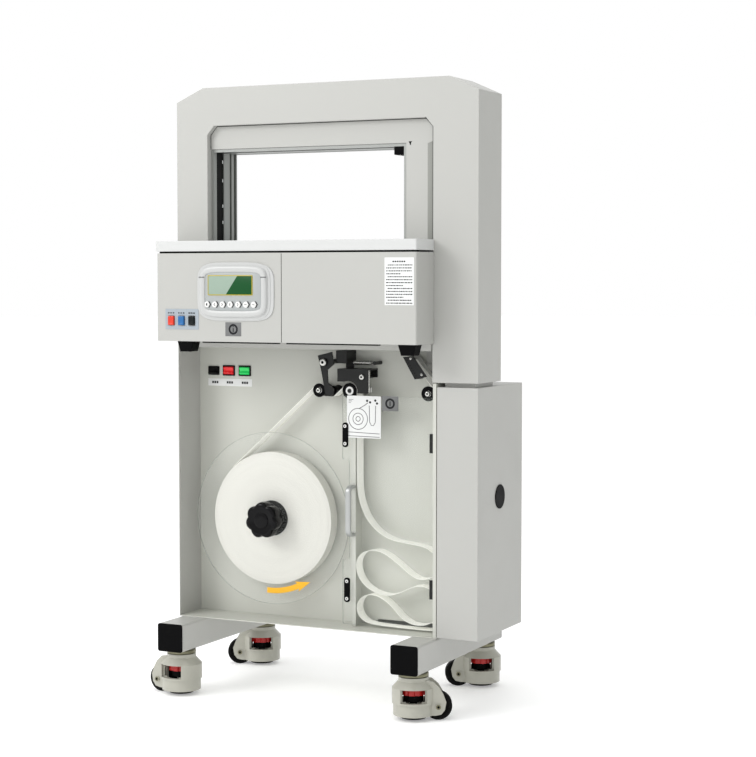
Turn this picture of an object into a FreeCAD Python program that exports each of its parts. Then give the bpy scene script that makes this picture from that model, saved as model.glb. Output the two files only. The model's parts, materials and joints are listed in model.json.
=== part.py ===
import FreeCAD, Part
import math
import os

from FreeCAD import Vector

os.makedirs("parts", exist_ok=True)

# Arch banding machine on levelling casters. Millimetres, +Z up, front faces -Y,
# origin on the floor under the middle of the overall box.

# Cabinet and arch
half_width = 352.0
sheet = 2.0
arch_front_y = -129.0
arch_back_y = -8.0
arch_top_z = 1298.0
corner_run = 65.0
corner_drop = 29.0
cabinet_back_y = 113.0
inner_left_x = -276.0
inner_right_x = 251.0
inner_top_z = 1217.0
inner_corner_run = 16.0
inner_corner_drop = 19.0
left_leg_bottom_z = 757.0
right_leg_bottom_z = 681.0
lining_right_x = 186.0
lining_bottom_z = 1168.0
lining_y = -115.0
track_front_y = -112.0
track_back_y = -14.0
track_lip = 6.0
track_lips = ((track_front_y, -101.0), (-70.0, -46.0), (-38.0, -28.0), (-18.0, track_back_y))

# Base frame
tube = 60.0
tube_wall = 3.0
tube_half_length = 221.0
end_cap = 3.0
left_beam_x = -318.0
right_beam_x = 232.0
beam_bottom_z = 97.0
tray_z = beam_bottom_z + tube
floor_z = tray_z + sheet

# Table and control box
table_left_x = -354.0
table_right_x = 255.0
table_front_y = -215.0
table_bottom_z = 949.0
table_top_z = 971.0
box_left_x = -350.0
box_bottom_z = 760.0
box_top_z = 945.0
box_back_y = -130.0
box_seam_x = -50.0
button_x = (-314.0, -289.0, -264.0)
button_z = 803.5
button_size = (13.8, 18.8)

# Right column
column_left_x = 261.5
column_top_z = 672.0
column_hole = (-13.4, 442.0, 25.0)

# Reel side
panel_y = -41.0
tape_front_y = -82.0
tape_width = 30.0
tape_back_y = tape_front_y + tape_width
tape_thick = 0.6
reel_x = -147.0
reel_z = 377.3
roll_radius = 142.5
core_radius = 38.0
disc_radius = 185.5
disc_thick = 2.5
knob_face_y = -133.0
knob_radius = 39.0
spindle_radius = 10.0
run_gap = 0.06

# Rollers and dancer, as (x, z, radius)
guide_at = (-31.0, 656.0, 13.0)
dancer_at = (-2.0, 655.0, 10.5)
feed_at = (41.0, 656.5, 15.4)
exit_at = (222.0, 655.0, 14.0)
dancer_pivot = (-14.0, 716.0)
roller_pin = 4.0

# Slack magazine and its door
partition_x = 46.0
magazine_right_x = 258.0
magazine_front_y = -84.0
magazine_top_z = 640.0
door_left_x = 26.0
door_right_x = 246.0
door_front_y = -88.0
door_thick = 3.0
door_bottom_z = 163.0
door_top_z = 647.0
notch_depth = 15.0
notch_low_z = 301.0
notch_high_z = 512.0
hinge_x = 249.5
hinge_y = -91.2
hinge_z = (250.0, 553.0)

# Rocker switches on the reel panel, as (x, z)
rocker_places = {"black": (-314.3, 690.0), "red": (-276.3, 690.7), "green": (-236.3, 690.7)}
rocker_half_width = 12.0
rocker_pin = 1.5

# Casters: swivel axes and the heading of each wheel
caster_y = 177.0
casters = {
    "fl": (left_beam_x, -caster_y, 172.0),
    "fr": (right_beam_x, -caster_y, 25.8),
    "rl": (left_beam_x, caster_y, 205.8),
    "rr": (right_beam_x, caster_y, 205.8),
}
wheel_radius = 28.5
wheel_offset = 50.0
wheel_width = 26.0
arm_in = 14.5
arm_out = 20.5
dome_z = 66.0
thumbwheel_low_z = 51.5
thumbwheel_top_z = 65.0

# The layout above is measured from the arch's middle; this moves it so that the
# origin is under the middle of the overall box, swivelled casters included.
origin_shift = Vector(21.51, 0.0, 0.0)

parts = {}


def box(x0, x1, y0, y1, z0, z1):
    return Part.makeBox(x1 - x0, y1 - y0, z1 - z0, Vector(x0, y0, z0))


def rod_x(x0, x1, y, z, r):
    return Part.makeCylinder(r, x1 - x0, Vector(x0, y, z), Vector(1, 0, 0))


def rod_y(y0, y1, x, z, r):
    return Part.makeCylinder(r, y1 - y0, Vector(x, y0, z), Vector(0, 1, 0))


def rod_z(z0, z1, x, y, r):
    return Part.makeCylinder(r, z1 - z0, Vector(x, y, z0), Vector(0, 0, 1))


def joined(first, *others):
    return first.fuse(list(others)).removeSplitter() if others else first


def cut(shape, *tools):
    for tool in tools:
        shape = shape.cut(tool)
    return shape


def wire_xz(points, y):
    corners = [Vector(x, y, z) for x, z in points]
    return Part.makePolygon(corners + corners[:1])


def prism_xz(points, y0, y1):
    return Part.Face(wire_xz(points, y0)).extrude(Vector(0, y1 - y0, 0))


def prism_yz(points, x0, x1):
    corners = [Vector(x0, y, z) for y, z in points]
    return Part.Face(Part.makePolygon(corners + corners[:1])).extrude(Vector(x1 - x0, 0, 0))


def prism_xy(points, z0, z1):
    corners = [Vector(x, y, z0) for x, y in points]
    return Part.Face(Part.makePolygon(corners + corners[:1])).extrude(Vector(0, 0, z1 - z0))


def edges_along(shape, direction, test):
    """Straight edges of a shape that run along a direction and pass a test on their middle."""
    found = []
    for edge in shape.Edges:
        start, end = edge.firstVertex().Point, edge.lastVertex().Point
        run = end - start
        if run.Length < 1e-6 or edge.Curve.TypeId != "Part::GeomLine":
            continue
        if abs(abs(run.normalize().dot(direction)) - 1) < 1e-6 and test((start + end) * 0.5):
            found.append(edge)
    return found


def rounded(shape, radius, direction, test=lambda middle: True):
    return shape.makeFillet(radius, edges_along(shape, direction, test))


# Base frame and casters

def base_beams():
    tubes = []
    for x in (left_beam_x, right_beam_x):
        outer = box(x - tube / 2, x + tube / 2, -tube_half_length, tube_half_length,
                    beam_bottom_z, tray_z)
        inner = box(x - tube / 2 + tube_wall, x + tube / 2 - tube_wall, -tube_half_length - 1,
                    tube_half_length + 1, beam_bottom_z + tube_wall, tray_z - tube_wall)
        outer = rounded(outer, 5.0, Vector(0, 1, 0))
        inner = rounded(inner, 2.0, Vector(0, 1, 0))
        stems = [rod_z(beam_bottom_z - 1, beam_bottom_z + 2 * tube_wall, x, y, 6.5)
                 for y in (-caster_y, caster_y)]
        tubes.append(cut(outer, inner, *stems))
    return Part.makeCompound(tubes)


def black_plugs():
    plugs = []
    half = tube / 2
    fit = half - tube_wall - 0.3
    mid_z = beam_bottom_z + half
    for x in (left_beam_x, right_beam_x):
        for side in (-1, 1):
            face = sorted((side * tube_half_length, side * (tube_half_length + end_cap)))
            neck = sorted((side * (tube_half_length - 12), side * tube_half_length))
            cap = rounded(box(x - half, x + half, *face, beam_bottom_z, tray_z), 5.0, Vector(0, 1, 0))
            stub = rounded(box(x - fit, x + fit, *neck, mid_z - fit, mid_z + fit), 2.0, Vector(0, 1, 0))
            plugs.append(joined(cap, stub))
    y, z, radius = column_hole
    flange = rod_x(half_width, half_width + 2, y, z, radius)
    body = rod_x(half_width - 8, half_width, y, z, radius - 3)
    plugs.append(joined(flange, body))
    return Part.makeCompound(plugs)


def caster_races():
    races = []
    for x, y, _ in casters.values():
        race = rod_z(88.0, beam_bottom_z, x, y, 31.0)
        race = race.makeFillet(2.5, [e for e in race.Edges if e.Curve.TypeId == "Part::GeomCircle"])
        pin = rod_z(78.0, 88.5, x, y, 8.0)
        stem = rod_z(beam_bottom_z - 0.5, 122.0, x, y, 6.0)
        nut = rod_z(beam_bottom_z + tube_wall, 112.0, x, y, 11.0)
        races.append(joined(race, pin, stem, nut))
    return Part.makeCompound(races)


def placed_on_caster(shape, name):
    x, y, heading = casters[name]
    shape = shape.copy()
    shape.rotate(Vector(0, 0, 0), Vector(0, 0, 1), heading)
    shape.translate(Vector(x, y, 0))
    return shape


def caster_housing():
    ring = cut(rod_z(10, 37, 0, 0, 41.5), rod_z(9, 38, 0, 0, 33))
    cup = cut(rod_z(37, dome_z, 0, 0, 44), rod_z(36, dome_z + 1, 0, 0, 37))
    dome = Part.makeCone(44, 31, 14, Vector(0, 0, dome_z))
    dome = dome.cut(Part.makeCone(37, 25, 12, Vector(0, 0, dome_z - 0.1)))
    neck = rod_z(80, 87.6, 0, 0, 31)
    boss = rod_z(thumbwheel_top_z + 1.5, 82, 0, 0, 15)
    ledge = cut(rod_z(34, 40, 0, 0, 44), rod_z(33, 41, 0, 0, 33))
    side_plate = [(24, 11), (24, 82), (38, 80), (51, 69), (60, 54), (66, 38), (63, 22), (56, 13), (44, 10.5)]
    arms = []
    for y0, y1 in ((-arm_out, -arm_in), (arm_in, arm_out)):
        arms.append(prism_xz(side_plate, y0, y1))
        arms.append(rod_y(y0, y1, wheel_offset, wheel_radius, 12))
    body = joined(ring, cup, dome, neck, boss, ledge, *arms)
    slot = box(17, 90, -arm_in, arm_in, 5, 62.5)
    windows = [box(-27, 27, side - 16, side + 16, 38, dome_z) for side in (-45, 45)]
    body = cut(body, slot, *windows)
    body = cut(body, rod_z(60, 75.5, 0, 0, 7.6), rod_z(75.4, 90, 0, 0, 8.0 + run_gap))
    axle = rod_y(-arm_out, arm_out, wheel_offset, wheel_radius, 4.0)
    heads = [rod_y(y0, y0 + 3, wheel_offset, wheel_radius, 6.0) for y0 in (-arm_out - 3, arm_out)]
    return joined(body, axle, *heads)


def caster_wheel():
    half = wheel_width / 2
    tyre = rod_y(-half, half, wheel_offset, wheel_radius, wheel_radius)
    rims = [e for e in tyre.Edges if e.Curve.TypeId == "Part::GeomCircle"]
    tyre = tyre.makeFillet(4.0, rims)
    for y0, y1 in ((-half - 1, -half + 2.5), (half - 2.5, half + 1)):
        groove = cut(rod_y(y0, y1, wheel_offset, wheel_radius, 21),
                     rod_y(y0, y1, wheel_offset, wheel_radius, 9))
        tyre = tyre.cut(groove)
    return tyre.cut(rod_y(-half - 1, half + 1, wheel_offset, wheel_radius, 4.0 + run_gap))


def caster_thumbwheel():
    low, high = thumbwheel_low_z, thumbwheel_top_z
    wheel = rod_z(low, high, 0, 0, 26.5)
    for step in range(9):
        angle = math.radians(40 * step)
        x, y = 29.0 * math.cos(angle), 29.0 * math.sin(angle)
        wheel = wheel.cut(rod_z(low - 1, high + 1, x, y, 5.0))
    return wheel.cut(rod_z(low - 1, high + 1, 0, 0, 7.5 + run_gap))


def caster_pad():
    foot = Part.makeCone(25.5, 28.5, 3.0, Vector(0, 0, 3.0))
    rim = rod_z(6.0, 9.0, 0, 0, 28.5)
    plate = rod_z(9.0, 12.0, 0, 0, 17.0)
    stem = rod_z(12.0, 74.0, 0, 0, 7.5)
    sleeve = rod_z(38.0, thumbwheel_low_z - 2.0, 0, 0, 20.0)
    return joined(foot, rim, plate, stem, sleeve)


# Cabinet

def floor_tray():
    return box(box_left_x, 260.0, arch_front_y, cabinet_back_y - sheet, tray_z, floor_z)


def left_side_wall():
    low, high = left_leg_bottom_z - 0.5, table_bottom_z - 2
    back = cabinet_back_y
    outline = [(arch_front_y, tray_z), (back, tray_z), (back, high), (arch_back_y + 0.5, high),
               (arch_back_y + 0.5, low), (arch_front_y, low)]
    return prism_yz(outline, -half_width, box_left_x)


def rocker_holes():
    return [box(x - 12.6, x + 12.6, panel_y - 1, panel_y + sheet + 1, z - 9.6, z + 9.6)
            for x, z in rocker_places.values()]


def reel_panel():
    step_z = right_leg_bottom_z - 2
    outline = [(box_left_x, floor_z), (magazine_right_x, floor_z), (magazine_right_x, step_z),
               (249.0, step_z), (249.0, left_leg_bottom_z), (box_left_x, left_leg_bottom_z)]
    panel = prism_xz(outline, panel_y, panel_y + sheet)
    slot = rounded(box(85, 216, panel_y - 1, panel_y + sheet + 1, 161, 170), 4.0, Vector(0, 1, 0))
    spindle = rod_y(panel_y - 1, panel_y + sheet + 1, reel_x, reel_z, spindle_radius + 0.3)
    shaft = rod_y(panel_y - 1, panel_y + sheet + 1, feed_at[0], feed_at[1], 8.0)
    return cut(panel, slot, spindle, shaft, *rocker_holes())


def rear_cover():
    back = box(box_left_x, 260.0, cabinet_back_y - sheet, cabinet_back_y, tray_z, table_bottom_z - 2)
    side = box(258.0, 260.0, arch_back_y + 0.5, cabinet_back_y - sheet, column_top_z + 2,
               table_bottom_z - 2)
    louvres = []
    for row in range(7):
        z = 260.0 + 26.0 * row
        for x in (-200.0, 40.0):
            louvres.append(box(x, x + 120, cabinet_back_y - 3, cabinet_back_y + 1, z, z + 7))
    return cut(joined(back, side), *louvres)


def right_column():
    outer = box(column_left_x, half_width, arch_front_y, cabinet_back_y, floor_z, column_top_z)
    inner = box(column_left_x + sheet, half_width - sheet, arch_front_y + sheet,
                cabinet_back_y - sheet, floor_z + sheet, column_top_z - sheet)
    neck = box(272, 340, -112, -22, column_top_z - 1, right_leg_bottom_z)
    y, z, radius = column_hole
    port = rod_x(half_width - 4, half_width + 1, y, z, radius - 2.8)
    return cut(joined(cut(outer, inner), neck), port)


# Arch

def arch_outline(inset):
    """Arch seen from the front, with every side moved inwards by the inset."""
    i = inset
    slope = i * (math.hypot(corner_run, corner_drop) - corner_drop) / corner_run
    shift = i * (math.hypot(inner_corner_run, inner_corner_drop) - inner_corner_drop) / inner_corner_run
    bend = i * (math.hypot(corner_run, corner_drop) - corner_run) / corner_drop
    turn = i * (math.hypot(inner_corner_run, inner_corner_drop) - inner_corner_run) / inner_corner_drop
    w, top, low = half_width, arch_top_z, arch_top_z - corner_drop
    left, right, ceiling = inner_left_x, inner_right_x, inner_top_z
    return [
        (-w + i, left_leg_bottom_z + i), (-w + i, low - slope),
        (-w + corner_run + bend, top - i), (w - corner_run - bend, top - i),
        (w - i, low - slope), (w - i, right_leg_bottom_z + i),
        (right + i, right_leg_bottom_z + i), (right + i, ceiling - inner_corner_drop + shift),
        (right - inner_corner_run + turn, ceiling + i), (left + inner_corner_run - turn, ceiling + i),
        (left - i, ceiling - inner_corner_drop + shift), (left - i, left_leg_bottom_z + i),
    ]


def arch_shell():
    body = prism_xz(arch_outline(0), arch_front_y, arch_back_y - sheet)
    hollow = prism_xz(arch_outline(sheet), arch_front_y + sheet, arch_back_y)
    return body.cut(hollow)


def arch_back_cover():
    plate = prism_xz(arch_outline(0), arch_back_y - sheet, arch_back_y)
    filler = prism_xz([(-278, 980), (-278, 1219), (253, 1219), (253, 973), (lining_right_x, 973),
                       (lining_right_x, lining_bottom_z), (inner_left_x, lining_bottom_z),
                       (inner_left_x, 980)], arch_back_y - sheet, arch_back_y)
    return joined(plate, filler)


def arch_lining():
    gap = 0.2
    left, right, top = inner_left_x + gap, inner_right_x - gap, inner_top_z - gap
    outline = [
        (left, lining_bottom_z), (left, top - inner_corner_drop),
        (left + inner_corner_run, top), (right - inner_corner_run, top),
        (right, top - inner_corner_drop), (right, table_bottom_z),
        (lining_right_x, table_bottom_z), (lining_right_x, lining_bottom_z),
    ]
    plate = prism_xz(outline, lining_y, lining_y + sheet)
    ceiling = box(left, lining_right_x + sheet, lining_y, arch_back_y - sheet,
                  lining_bottom_z, lining_bottom_z + sheet)
    side = box(lining_right_x, lining_right_x + sheet, lining_y, arch_back_y - sheet,
               table_bottom_z, lining_bottom_z + sheet)
    return joined(plate, ceiling, side)


def guide_ring(thick, y0, y1):
    left, right, top, low = inner_left_x + 0.3, lining_right_x - 0.3, lining_bottom_z - 0.3, table_bottom_z
    outer = box(left, right, y0, y1, low, top)
    inner = box(left + thick, right - thick, y0 - 1, y1 + 1, low - 1, top - thick)
    return outer.cut(inner)


def guide_track():
    base = guide_ring(sheet, track_front_y, track_back_y)
    lips = [guide_ring(track_lip, y0, y1) for y0, y1 in track_lips]
    return joined(base, *lips)


# Table, control box and what it holds

def table_top():
    front, mid, gap = table_front_y, arch_front_y - 0.5, 0.5
    behind = arch_back_y + gap
    right_notch_x = lining_right_x - 0.3 - track_lip - gap
    left_notch_x = inner_left_x + 0.3 + track_lip + gap
    outline = [
        (table_left_x, front), (table_right_x, front), (table_right_x, mid),
        (inner_right_x - gap, mid), (inner_right_x - gap, lining_y - gap),
        (right_notch_x, lining_y - gap), (right_notch_x, behind),
        (table_right_x, behind), (table_right_x, cabinet_back_y),
        (table_left_x, cabinet_back_y), (table_left_x, behind), (left_notch_x, behind),
        (left_notch_x, track_front_y - gap), (inner_left_x + gap, track_front_y - gap),
        (inner_left_x + gap, mid), (table_left_x, mid),
    ]
    plate = prism_xy(outline, table_bottom_z, table_top_z)
    plate = rounded(plate, 3.0, Vector(0, 0, 1), lambda p: p.y < front + 1 or p.y > cabinet_back_y - 1)
    return plate.cut(box(-61, 61, -106, -54, table_bottom_z - 1, table_top_z + 1))


def control_box():
    x0, x1, y0, y1 = box_left_x, table_right_x, table_front_y, box_back_y
    shell = rounded(box(x0, x1, y0, y1, box_bottom_z, box_top_z), 3.0, Vector(0, 0, 1),
                    lambda p: p.y < y0 + 1)
    inner = box(x0 + sheet, x1 - sheet, y0 + sheet, y1 + 1, box_bottom_z + sheet, box_top_z - sheet)
    seam = box(box_seam_x - 0.6, box_seam_x + 0.6, y0 - 1, y0 + 1, box_bottom_z - 1, box_top_z + 1)
    rail = box(x0, 249, y1 - 1, y1 + 1, box_bottom_z - 15, box_bottom_z + 6)
    notches = [box(x - 5, x + 5, y1 - 2, y1 + 2, box_bottom_z - 4, box_bottom_z)
               for x in range(-330, 240, 48)]
    rail = cut(rail, *notches)
    holes = []
    for x in button_x:
        w, h = button_size[0] / 2 + 0.4, button_size[1] / 2 + 0.4
        holes.append(box(x - w, x + w, y0 - 1, y0 + sheet + 1, button_z - h, button_z + h))
    window = box(-218, -110, y0 - 1, y0 + sheet + 1, 850, 905)
    return joined(cut(shell, inner, seam, window, *holes), rail)


def box_bumpers():
    blocks = []
    for x0, x1 in ((-303.0, -264.0), (212.0, 252.0)):
        outline = [(x0, box_bottom_z), (x1, box_bottom_z), (x1 - 6, box_bottom_z - 22),
                   (x0 + 7, box_bottom_z - 22)]
        blocks.append(prism_xz(outline, table_front_y + 4, table_front_y + 34))
    return Part.makeCompound(blocks)


def operator_panel():
    x0, x1, z0, z1 = -249.0, -74.0, 804.5, 925.5
    bulge = 5.0
    mid_x, mid_z = (x0 + x1) / 2, (z0 + z1) / 2
    y0 = table_front_y

    def corner(x, z):
        return Vector(x, y0, z)

    top_l, top_r = corner(x0 + 8, z1 - 4), corner(x1 - 8, z1 - 4)
    low_l, low_r = corner(x0 + 8, z0 + 4), corner(x1 - 8, z0 + 4)
    edges = [
        Part.Arc(top_l, corner(mid_x, z1 + 1), top_r).toShape(),
        Part.Arc(top_r, corner(x1 - 1, mid_z + 30), corner(x1, mid_z)).toShape(),
        Part.Arc(corner(x1, mid_z), corner(x1 - 1, mid_z - 30), low_r).toShape(),
        Part.Arc(low_r, corner(mid_x, z0 - 1), low_l).toShape(),
        Part.Arc(low_l, corner(x0 + 1, mid_z - 30), corner(x0, mid_z)).toShape(),
        Part.Arc(corner(x0, mid_z), corner(x0 + 1, mid_z + 30), top_l).toShape(),
    ]
    body = Part.Face(Part.Wire(edges)).extrude(Vector(0, -9.0, 0))
    front = [e for e in body.Edges if abs(e.CenterOfMass.y - (y0 - 9.0)) < 1e-3]
    body = body.makeFillet(2.5, front)
    recess = box(-236, -99, y0 - 10, y0 - 7.5, 829, 909)
    screen = box(-214, -114, y0 - 8, y0 - 5, 857, 899)
    module = box(-216, -112, y0 - 0.5, y0 + 22, 852, 903)
    return joined(cut(body, recess, screen), module)


def push_button(x):
    w, h = button_size[0] / 2, button_size[1] / 2
    y0 = table_front_y
    cap = rounded(box(x - w, x + w, y0 - 5, y0 + 6, button_z - h, button_z + h), 1.5, Vector(0, 1, 0))
    flange = box(x - w - 2, x + w + 2, y0 + sheet + 0.3, y0 + sheet + 1.8, button_z - h - 2,
                 button_z + h + 2)
    return joined(cap, flange)


def sealing_head():
    crown = box(-60, 60, -105, -55, 925, table_top_z - 0.5)
    groove = box(-61, 61, -97, -67, table_top_z - 1.5, table_top_z + 1)
    cheeks = [box(x, x + 5, -105, -55, 790, 926) for x in (-60.0, 55.0)]
    foot = box(-60, 60, -105, -55, 784, 790)
    bore = rod_x(-70, 70, -80, 835, 8.0 + run_gap)
    return cut(joined(crown, foot, *cheeks), groove, bore)


def cam_shaft():
    shaft = rod_x(-72, 108, -80, 835, 8.0)
    cams = [rod_x(x - 6, x + 6, -80 + 5 * math.cos(a), 835 + 5 * math.sin(a), 18.0)
            for x, a in ((-32.0, 0.6), (0.0, 2.4), (32.0, 4.4))]
    wheel = rod_x(74, 84, -80, 835, 30.0)
    return joined(shaft, wheel, *cams)


def gear_motor():
    """Gear motor along +X from its mounting face, which is at x = 0."""
    gearbox = rounded(box(0, 42, -38, 38, -38, 38), 6.0, Vector(1, 0, 0))
    can = rod_x(42, 128, 0, 0, 34.0)
    return joined(gearbox, can)


def gear_motors():
    drive = gear_motor()
    drive.translate(Vector(110, -80, 835))
    feed = gear_motor()
    feed.rotate(Vector(0, 0, 0), Vector(0, 0, 1), 90)
    feed.translate(Vector(feed_at[0], panel_y + sheet, feed_at[1]))
    return Part.makeCompound([drive, feed])


# Magazine and door

def magazine_walls():
    x, lip = partition_x, 9.0
    wall = box(x, x + sheet, magazine_front_y, panel_y, floor_z, magazine_top_z)
    edge = box(x, x + lip, magazine_front_y, magazine_front_y + sheet, floor_z, magazine_top_z)
    right = box(magazine_right_x, magazine_right_x + sheet, arch_front_y, panel_y + sheet,
                floor_z, right_leg_bottom_z - 2)
    front = box(magazine_right_x - 5.5, magazine_right_x + sheet, arch_front_y,
                arch_front_y + sheet, floor_z, right_leg_bottom_z - 2)
    return Part.makeCompound([joined(wall, edge), joined(right, front)])


def magazine_door():
    low, high, x0 = door_bottom_z, door_top_z, door_left_x
    outline = [(x0, low), (door_right_x, low), (door_right_x, high), (x0, high),
               (x0, notch_high_z), (x0 + notch_depth, notch_high_z),
               (x0 + notch_depth, notch_low_z), (x0, notch_low_z)]
    panel = prism_xz(outline, door_front_y, door_front_y + door_thick)
    return rounded(panel, 4.0, Vector(0, 1, 0))


def door_handle():
    x0, x1 = 44.0, 57.0
    low, high, out = 350.0, 460.0, door_front_y - 26.0
    body = box(x0, x1, out, door_front_y, low, high)
    body = rounded(body, 12.0, Vector(1, 0, 0), lambda p: p.y < out + 1)
    gap = box(x0 - 1, x1 + 1, out + 8, door_front_y + 1, low + 9, high - 9)
    gap = rounded(gap, 6.0, Vector(1, 0, 0), lambda p: p.y < out + 9)
    return cut(body, gap)


def door_hinge_leaves():
    leaves = []
    for z in hinge_z:
        leaf = box(hinge_x - 22, hinge_x - 4, door_front_y - 1.6, door_front_y, z - 20, z + 20)
        tongue = box(hinge_x - 5, hinge_x, door_front_y - 1.6, door_front_y, z - 6, z + 20)
        barrel = rod_z(z - 6, z + 20, hinge_x, hinge_y, 3.2)
        bore = rod_z(z - 7, z + 21, hinge_x, hinge_y, 1.6 + run_gap)
        leaves.append(joined(leaf, tongue, barrel).cut(bore))
    return Part.makeCompound(leaves)


def door_hinge_posts():
    posts = []
    for z in hinge_z:
        pin = rod_z(z - 20, z + 20, hinge_x, hinge_y, 1.6)
        knuckle = rod_z(z - 20, z - 6.4, hinge_x, hinge_y, 3.2)
        arm = box(hinge_x, magazine_right_x, hinge_y - 1.2, hinge_y + 1.2, z - 20, z - 6.4)
        plate = box(magazine_right_x - 2, magazine_right_x, hinge_y - 12, hinge_y + 12, z - 20, z + 20)
        posts.append(joined(knuckle, pin, arm, plate))
    return Part.makeCompound(posts)


# Reel

def reel_spindle():
    shaft = rod_y(-112.0, panel_y + sheet + 14, reel_x, reel_z, spindle_radius)
    flange = rod_y(panel_y - 4, panel_y, reel_x, reel_z, 30.0)
    nut = rod_y(panel_y + sheet, panel_y + sheet + 10, reel_x, reel_z, 17.0)
    return joined(shaft, flange, nut)


def reel_hub():
    sleeve = rod_y(tape_front_y - 0.2, tape_back_y + 5, reel_x, reel_z, core_radius - 0.2)
    flange = rod_y(tape_back_y + 0.2, tape_back_y + 5, reel_x, reel_z, 70.0)
    bore = rod_y(-120, 0, reel_x, reel_z, spindle_radius + run_gap)
    return joined(sleeve, flange).cut(bore)


def reel_disc():
    y1 = tape_front_y - 0.3
    disc = rod_y(y1 - disc_thick, y1, reel_x, reel_z, disc_radius)
    return disc.cut(rod_y(y1 - disc_thick - 1, y1 + 1, reel_x, reel_z, spindle_radius + 1))


def tape_roll():
    roll = rod_y(tape_front_y, tape_back_y, reel_x, reel_z, roll_radius)
    return roll.cut(rod_y(tape_front_y - 1, tape_back_y + 1, reel_x, reel_z, core_radius))


def reel_knob():
    base_y = tape_front_y - disc_thick - 0.6
    collar = rod_y(base_y - 16, base_y, reel_x, reel_z, 24.0)
    head = rod_y(knob_face_y, base_y - 15, reel_x, reel_z, knob_radius)
    for lobe in range(7):
        angle = 2 * math.pi * (lobe + 0.3) / 7
        x = reel_x + (knob_radius + 9) * math.cos(angle)
        z = reel_z + (knob_radius + 9) * math.sin(angle)
        head = head.cut(rod_y(knob_face_y - 1, base_y, x, z, 12.0))
    bore = rod_y(-112.5, 0, reel_x, reel_z, spindle_radius + run_gap)
    return joined(collar, head).cut(bore)


# Tape feed

def flanged_roller(at, flange, flange_thick=1.2):
    x, z, radius = at
    barrel = rod_y(tape_front_y - 1, tape_back_y + 1, x, z, radius)
    rims = [rod_y(tape_front_y - 1 - flange_thick, tape_front_y - 1, x, z, radius + flange),
            rod_y(tape_back_y + 1, tape_back_y + 1 + flange_thick, x, z, radius + flange)]
    bore = rod_y(-120, 0, x, z, roller_pin + run_gap)
    return joined(barrel, *rims).cut(bore)


def roller_post(at, front_y):
    x, z, radius = at
    pin = rod_y(front_y, panel_y, x, z, roller_pin)
    collar = rod_y(tape_back_y + 3.2, panel_y, x, z, 8.0)
    head = rod_y(front_y - 2, front_y, x, z, 6.5)
    return [pin, collar, head]


def feed_bracket():
    back = joined(box(15, 86, panel_y - 3, panel_y, 684, 703), box(12, 30, panel_y - 3, panel_y, 684, 741))
    top = box(15, 86, -90, panel_y, 700, 703)
    front = box(15, 86, -90, -87, 652, 703)
    bite = rod_y(-95, -80, feed_at[0], feed_at[1], 21.0)
    side_bite = box(14, 40, -95, -80, 650, 676)
    block = box(10, 35, -86, panel_y, 714, 741)
    pivot = rod_y(-97, panel_y, dancer_pivot[0], dancer_pivot[1], 5.0)
    pivot_head = rod_y(-99, -96.5, dancer_pivot[0], dancer_pivot[1], 8.0)
    cross = rod_y(-87, panel_y, 73.2, 686.5, 4.0)
    screw = rod_y(-92.5, -90, 73.2, 686.5, 5.5)
    post = rod_y(-72, panel_y, 93.0, 715.0, 4.0)
    front = cut(front, bite, side_bite)
    guide = roller_post(guide_at, -86.5)
    shaft = rod_y(-86.5, panel_y, feed_at[0], feed_at[1], roller_pin)
    return Part.makeCompound([
        joined(back, top, front, block, cross, screw), joined(pivot, pivot_head), post,
        joined(*guide), shaft])


def dancer_arm():
    px, pz = dancer_pivot
    rx, rz, radius = dancer_at
    outline = [(-29, 730), (4, 738), (9, 712), (0, 705), (-6.5, 700), (-5, 672), (8.5, 661), (8.5, 655),
               (-12.5, 655), (-20, 694)]
    plate = prism_xz(outline, -94.5, -91)
    toe = rod_y(-94.5, -91, rx, rz, 10.5)
    pin = rod_y(-91.5, tape_back_y + 2.5, rx, rz, roller_pin)
    washer = rod_y(-91, -86.2, rx, rz, 6.5)
    hole = rod_y(-100, -80, px, pz, 5.0 + run_gap)
    return joined(plate, toe, pin, washer).cut(hole)


def tension_spring():
    body = rod_x(40, 84, -62, 715.5, 5.0)
    hooks = [rod_x(35.2, 41, -62, 715.5, 1.2), rod_x(83, 88.7, -62, 715.5, 1.2)]
    return joined(body, *hooks)


def tape_chute():
    side = [(165, 730), (188, 732), (219, 690), (192, 684)]
    front = prism_xz(side, -86, -83)
    rear = prism_xz(side, -51, -48)
    spine = prism_xz([(165, 730), (168, 730.5), (195, 684.5), (192, 684)], -84, -50)
    stay = box(200, 244, panel_y - 3, panel_y, 690, 742)
    link = box(196, 216, -49, panel_y - 2, 700, 715)
    pin = roller_post(exit_at, -86.5)
    screws = [rod_y(panel_y - 6, panel_y - 3, 235, z, 5.0) for z in (702.0, 732.0)]
    return Part.makeCompound([joined(front, rear, spine, link, stay, *screws), joined(*pin)])


def tangent_angle(a, b):
    """Heading of the straight run that leaves circle a and meets circle b.

    A circle is (x, z, radius, side); side is +1 where the tape passes on its left."""
    dx, dz = b[0] - a[0], b[1] - a[1]
    offset = a[3] * a[2] - b[3] * b[2]
    return math.atan2(dz, dx) - math.asin(offset / math.hypot(dx, dz))


def wrap_points(circles, step):
    """Points of a tape laid round a list of directed circles, from the first to the last."""
    headings = [tangent_angle(a, b) for a, b in zip(circles, circles[1:])]
    points = []
    for index, (x, z, radius, side) in enumerate(circles):
        into = headings[index - 1] if index else headings[0]
        out = headings[index] if index < len(headings) else headings[-1]
        turn = (out - into + math.pi) % (2 * math.pi) - math.pi
        count = max(1, int(abs(turn) * radius / step))
        for k in range(count + 1):
            heading = into + turn * k / count
            points.append((x - side * radius * math.sin(heading), z + side * radius * math.cos(heading)))
            if turn == 0:
                break
    return points


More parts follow.
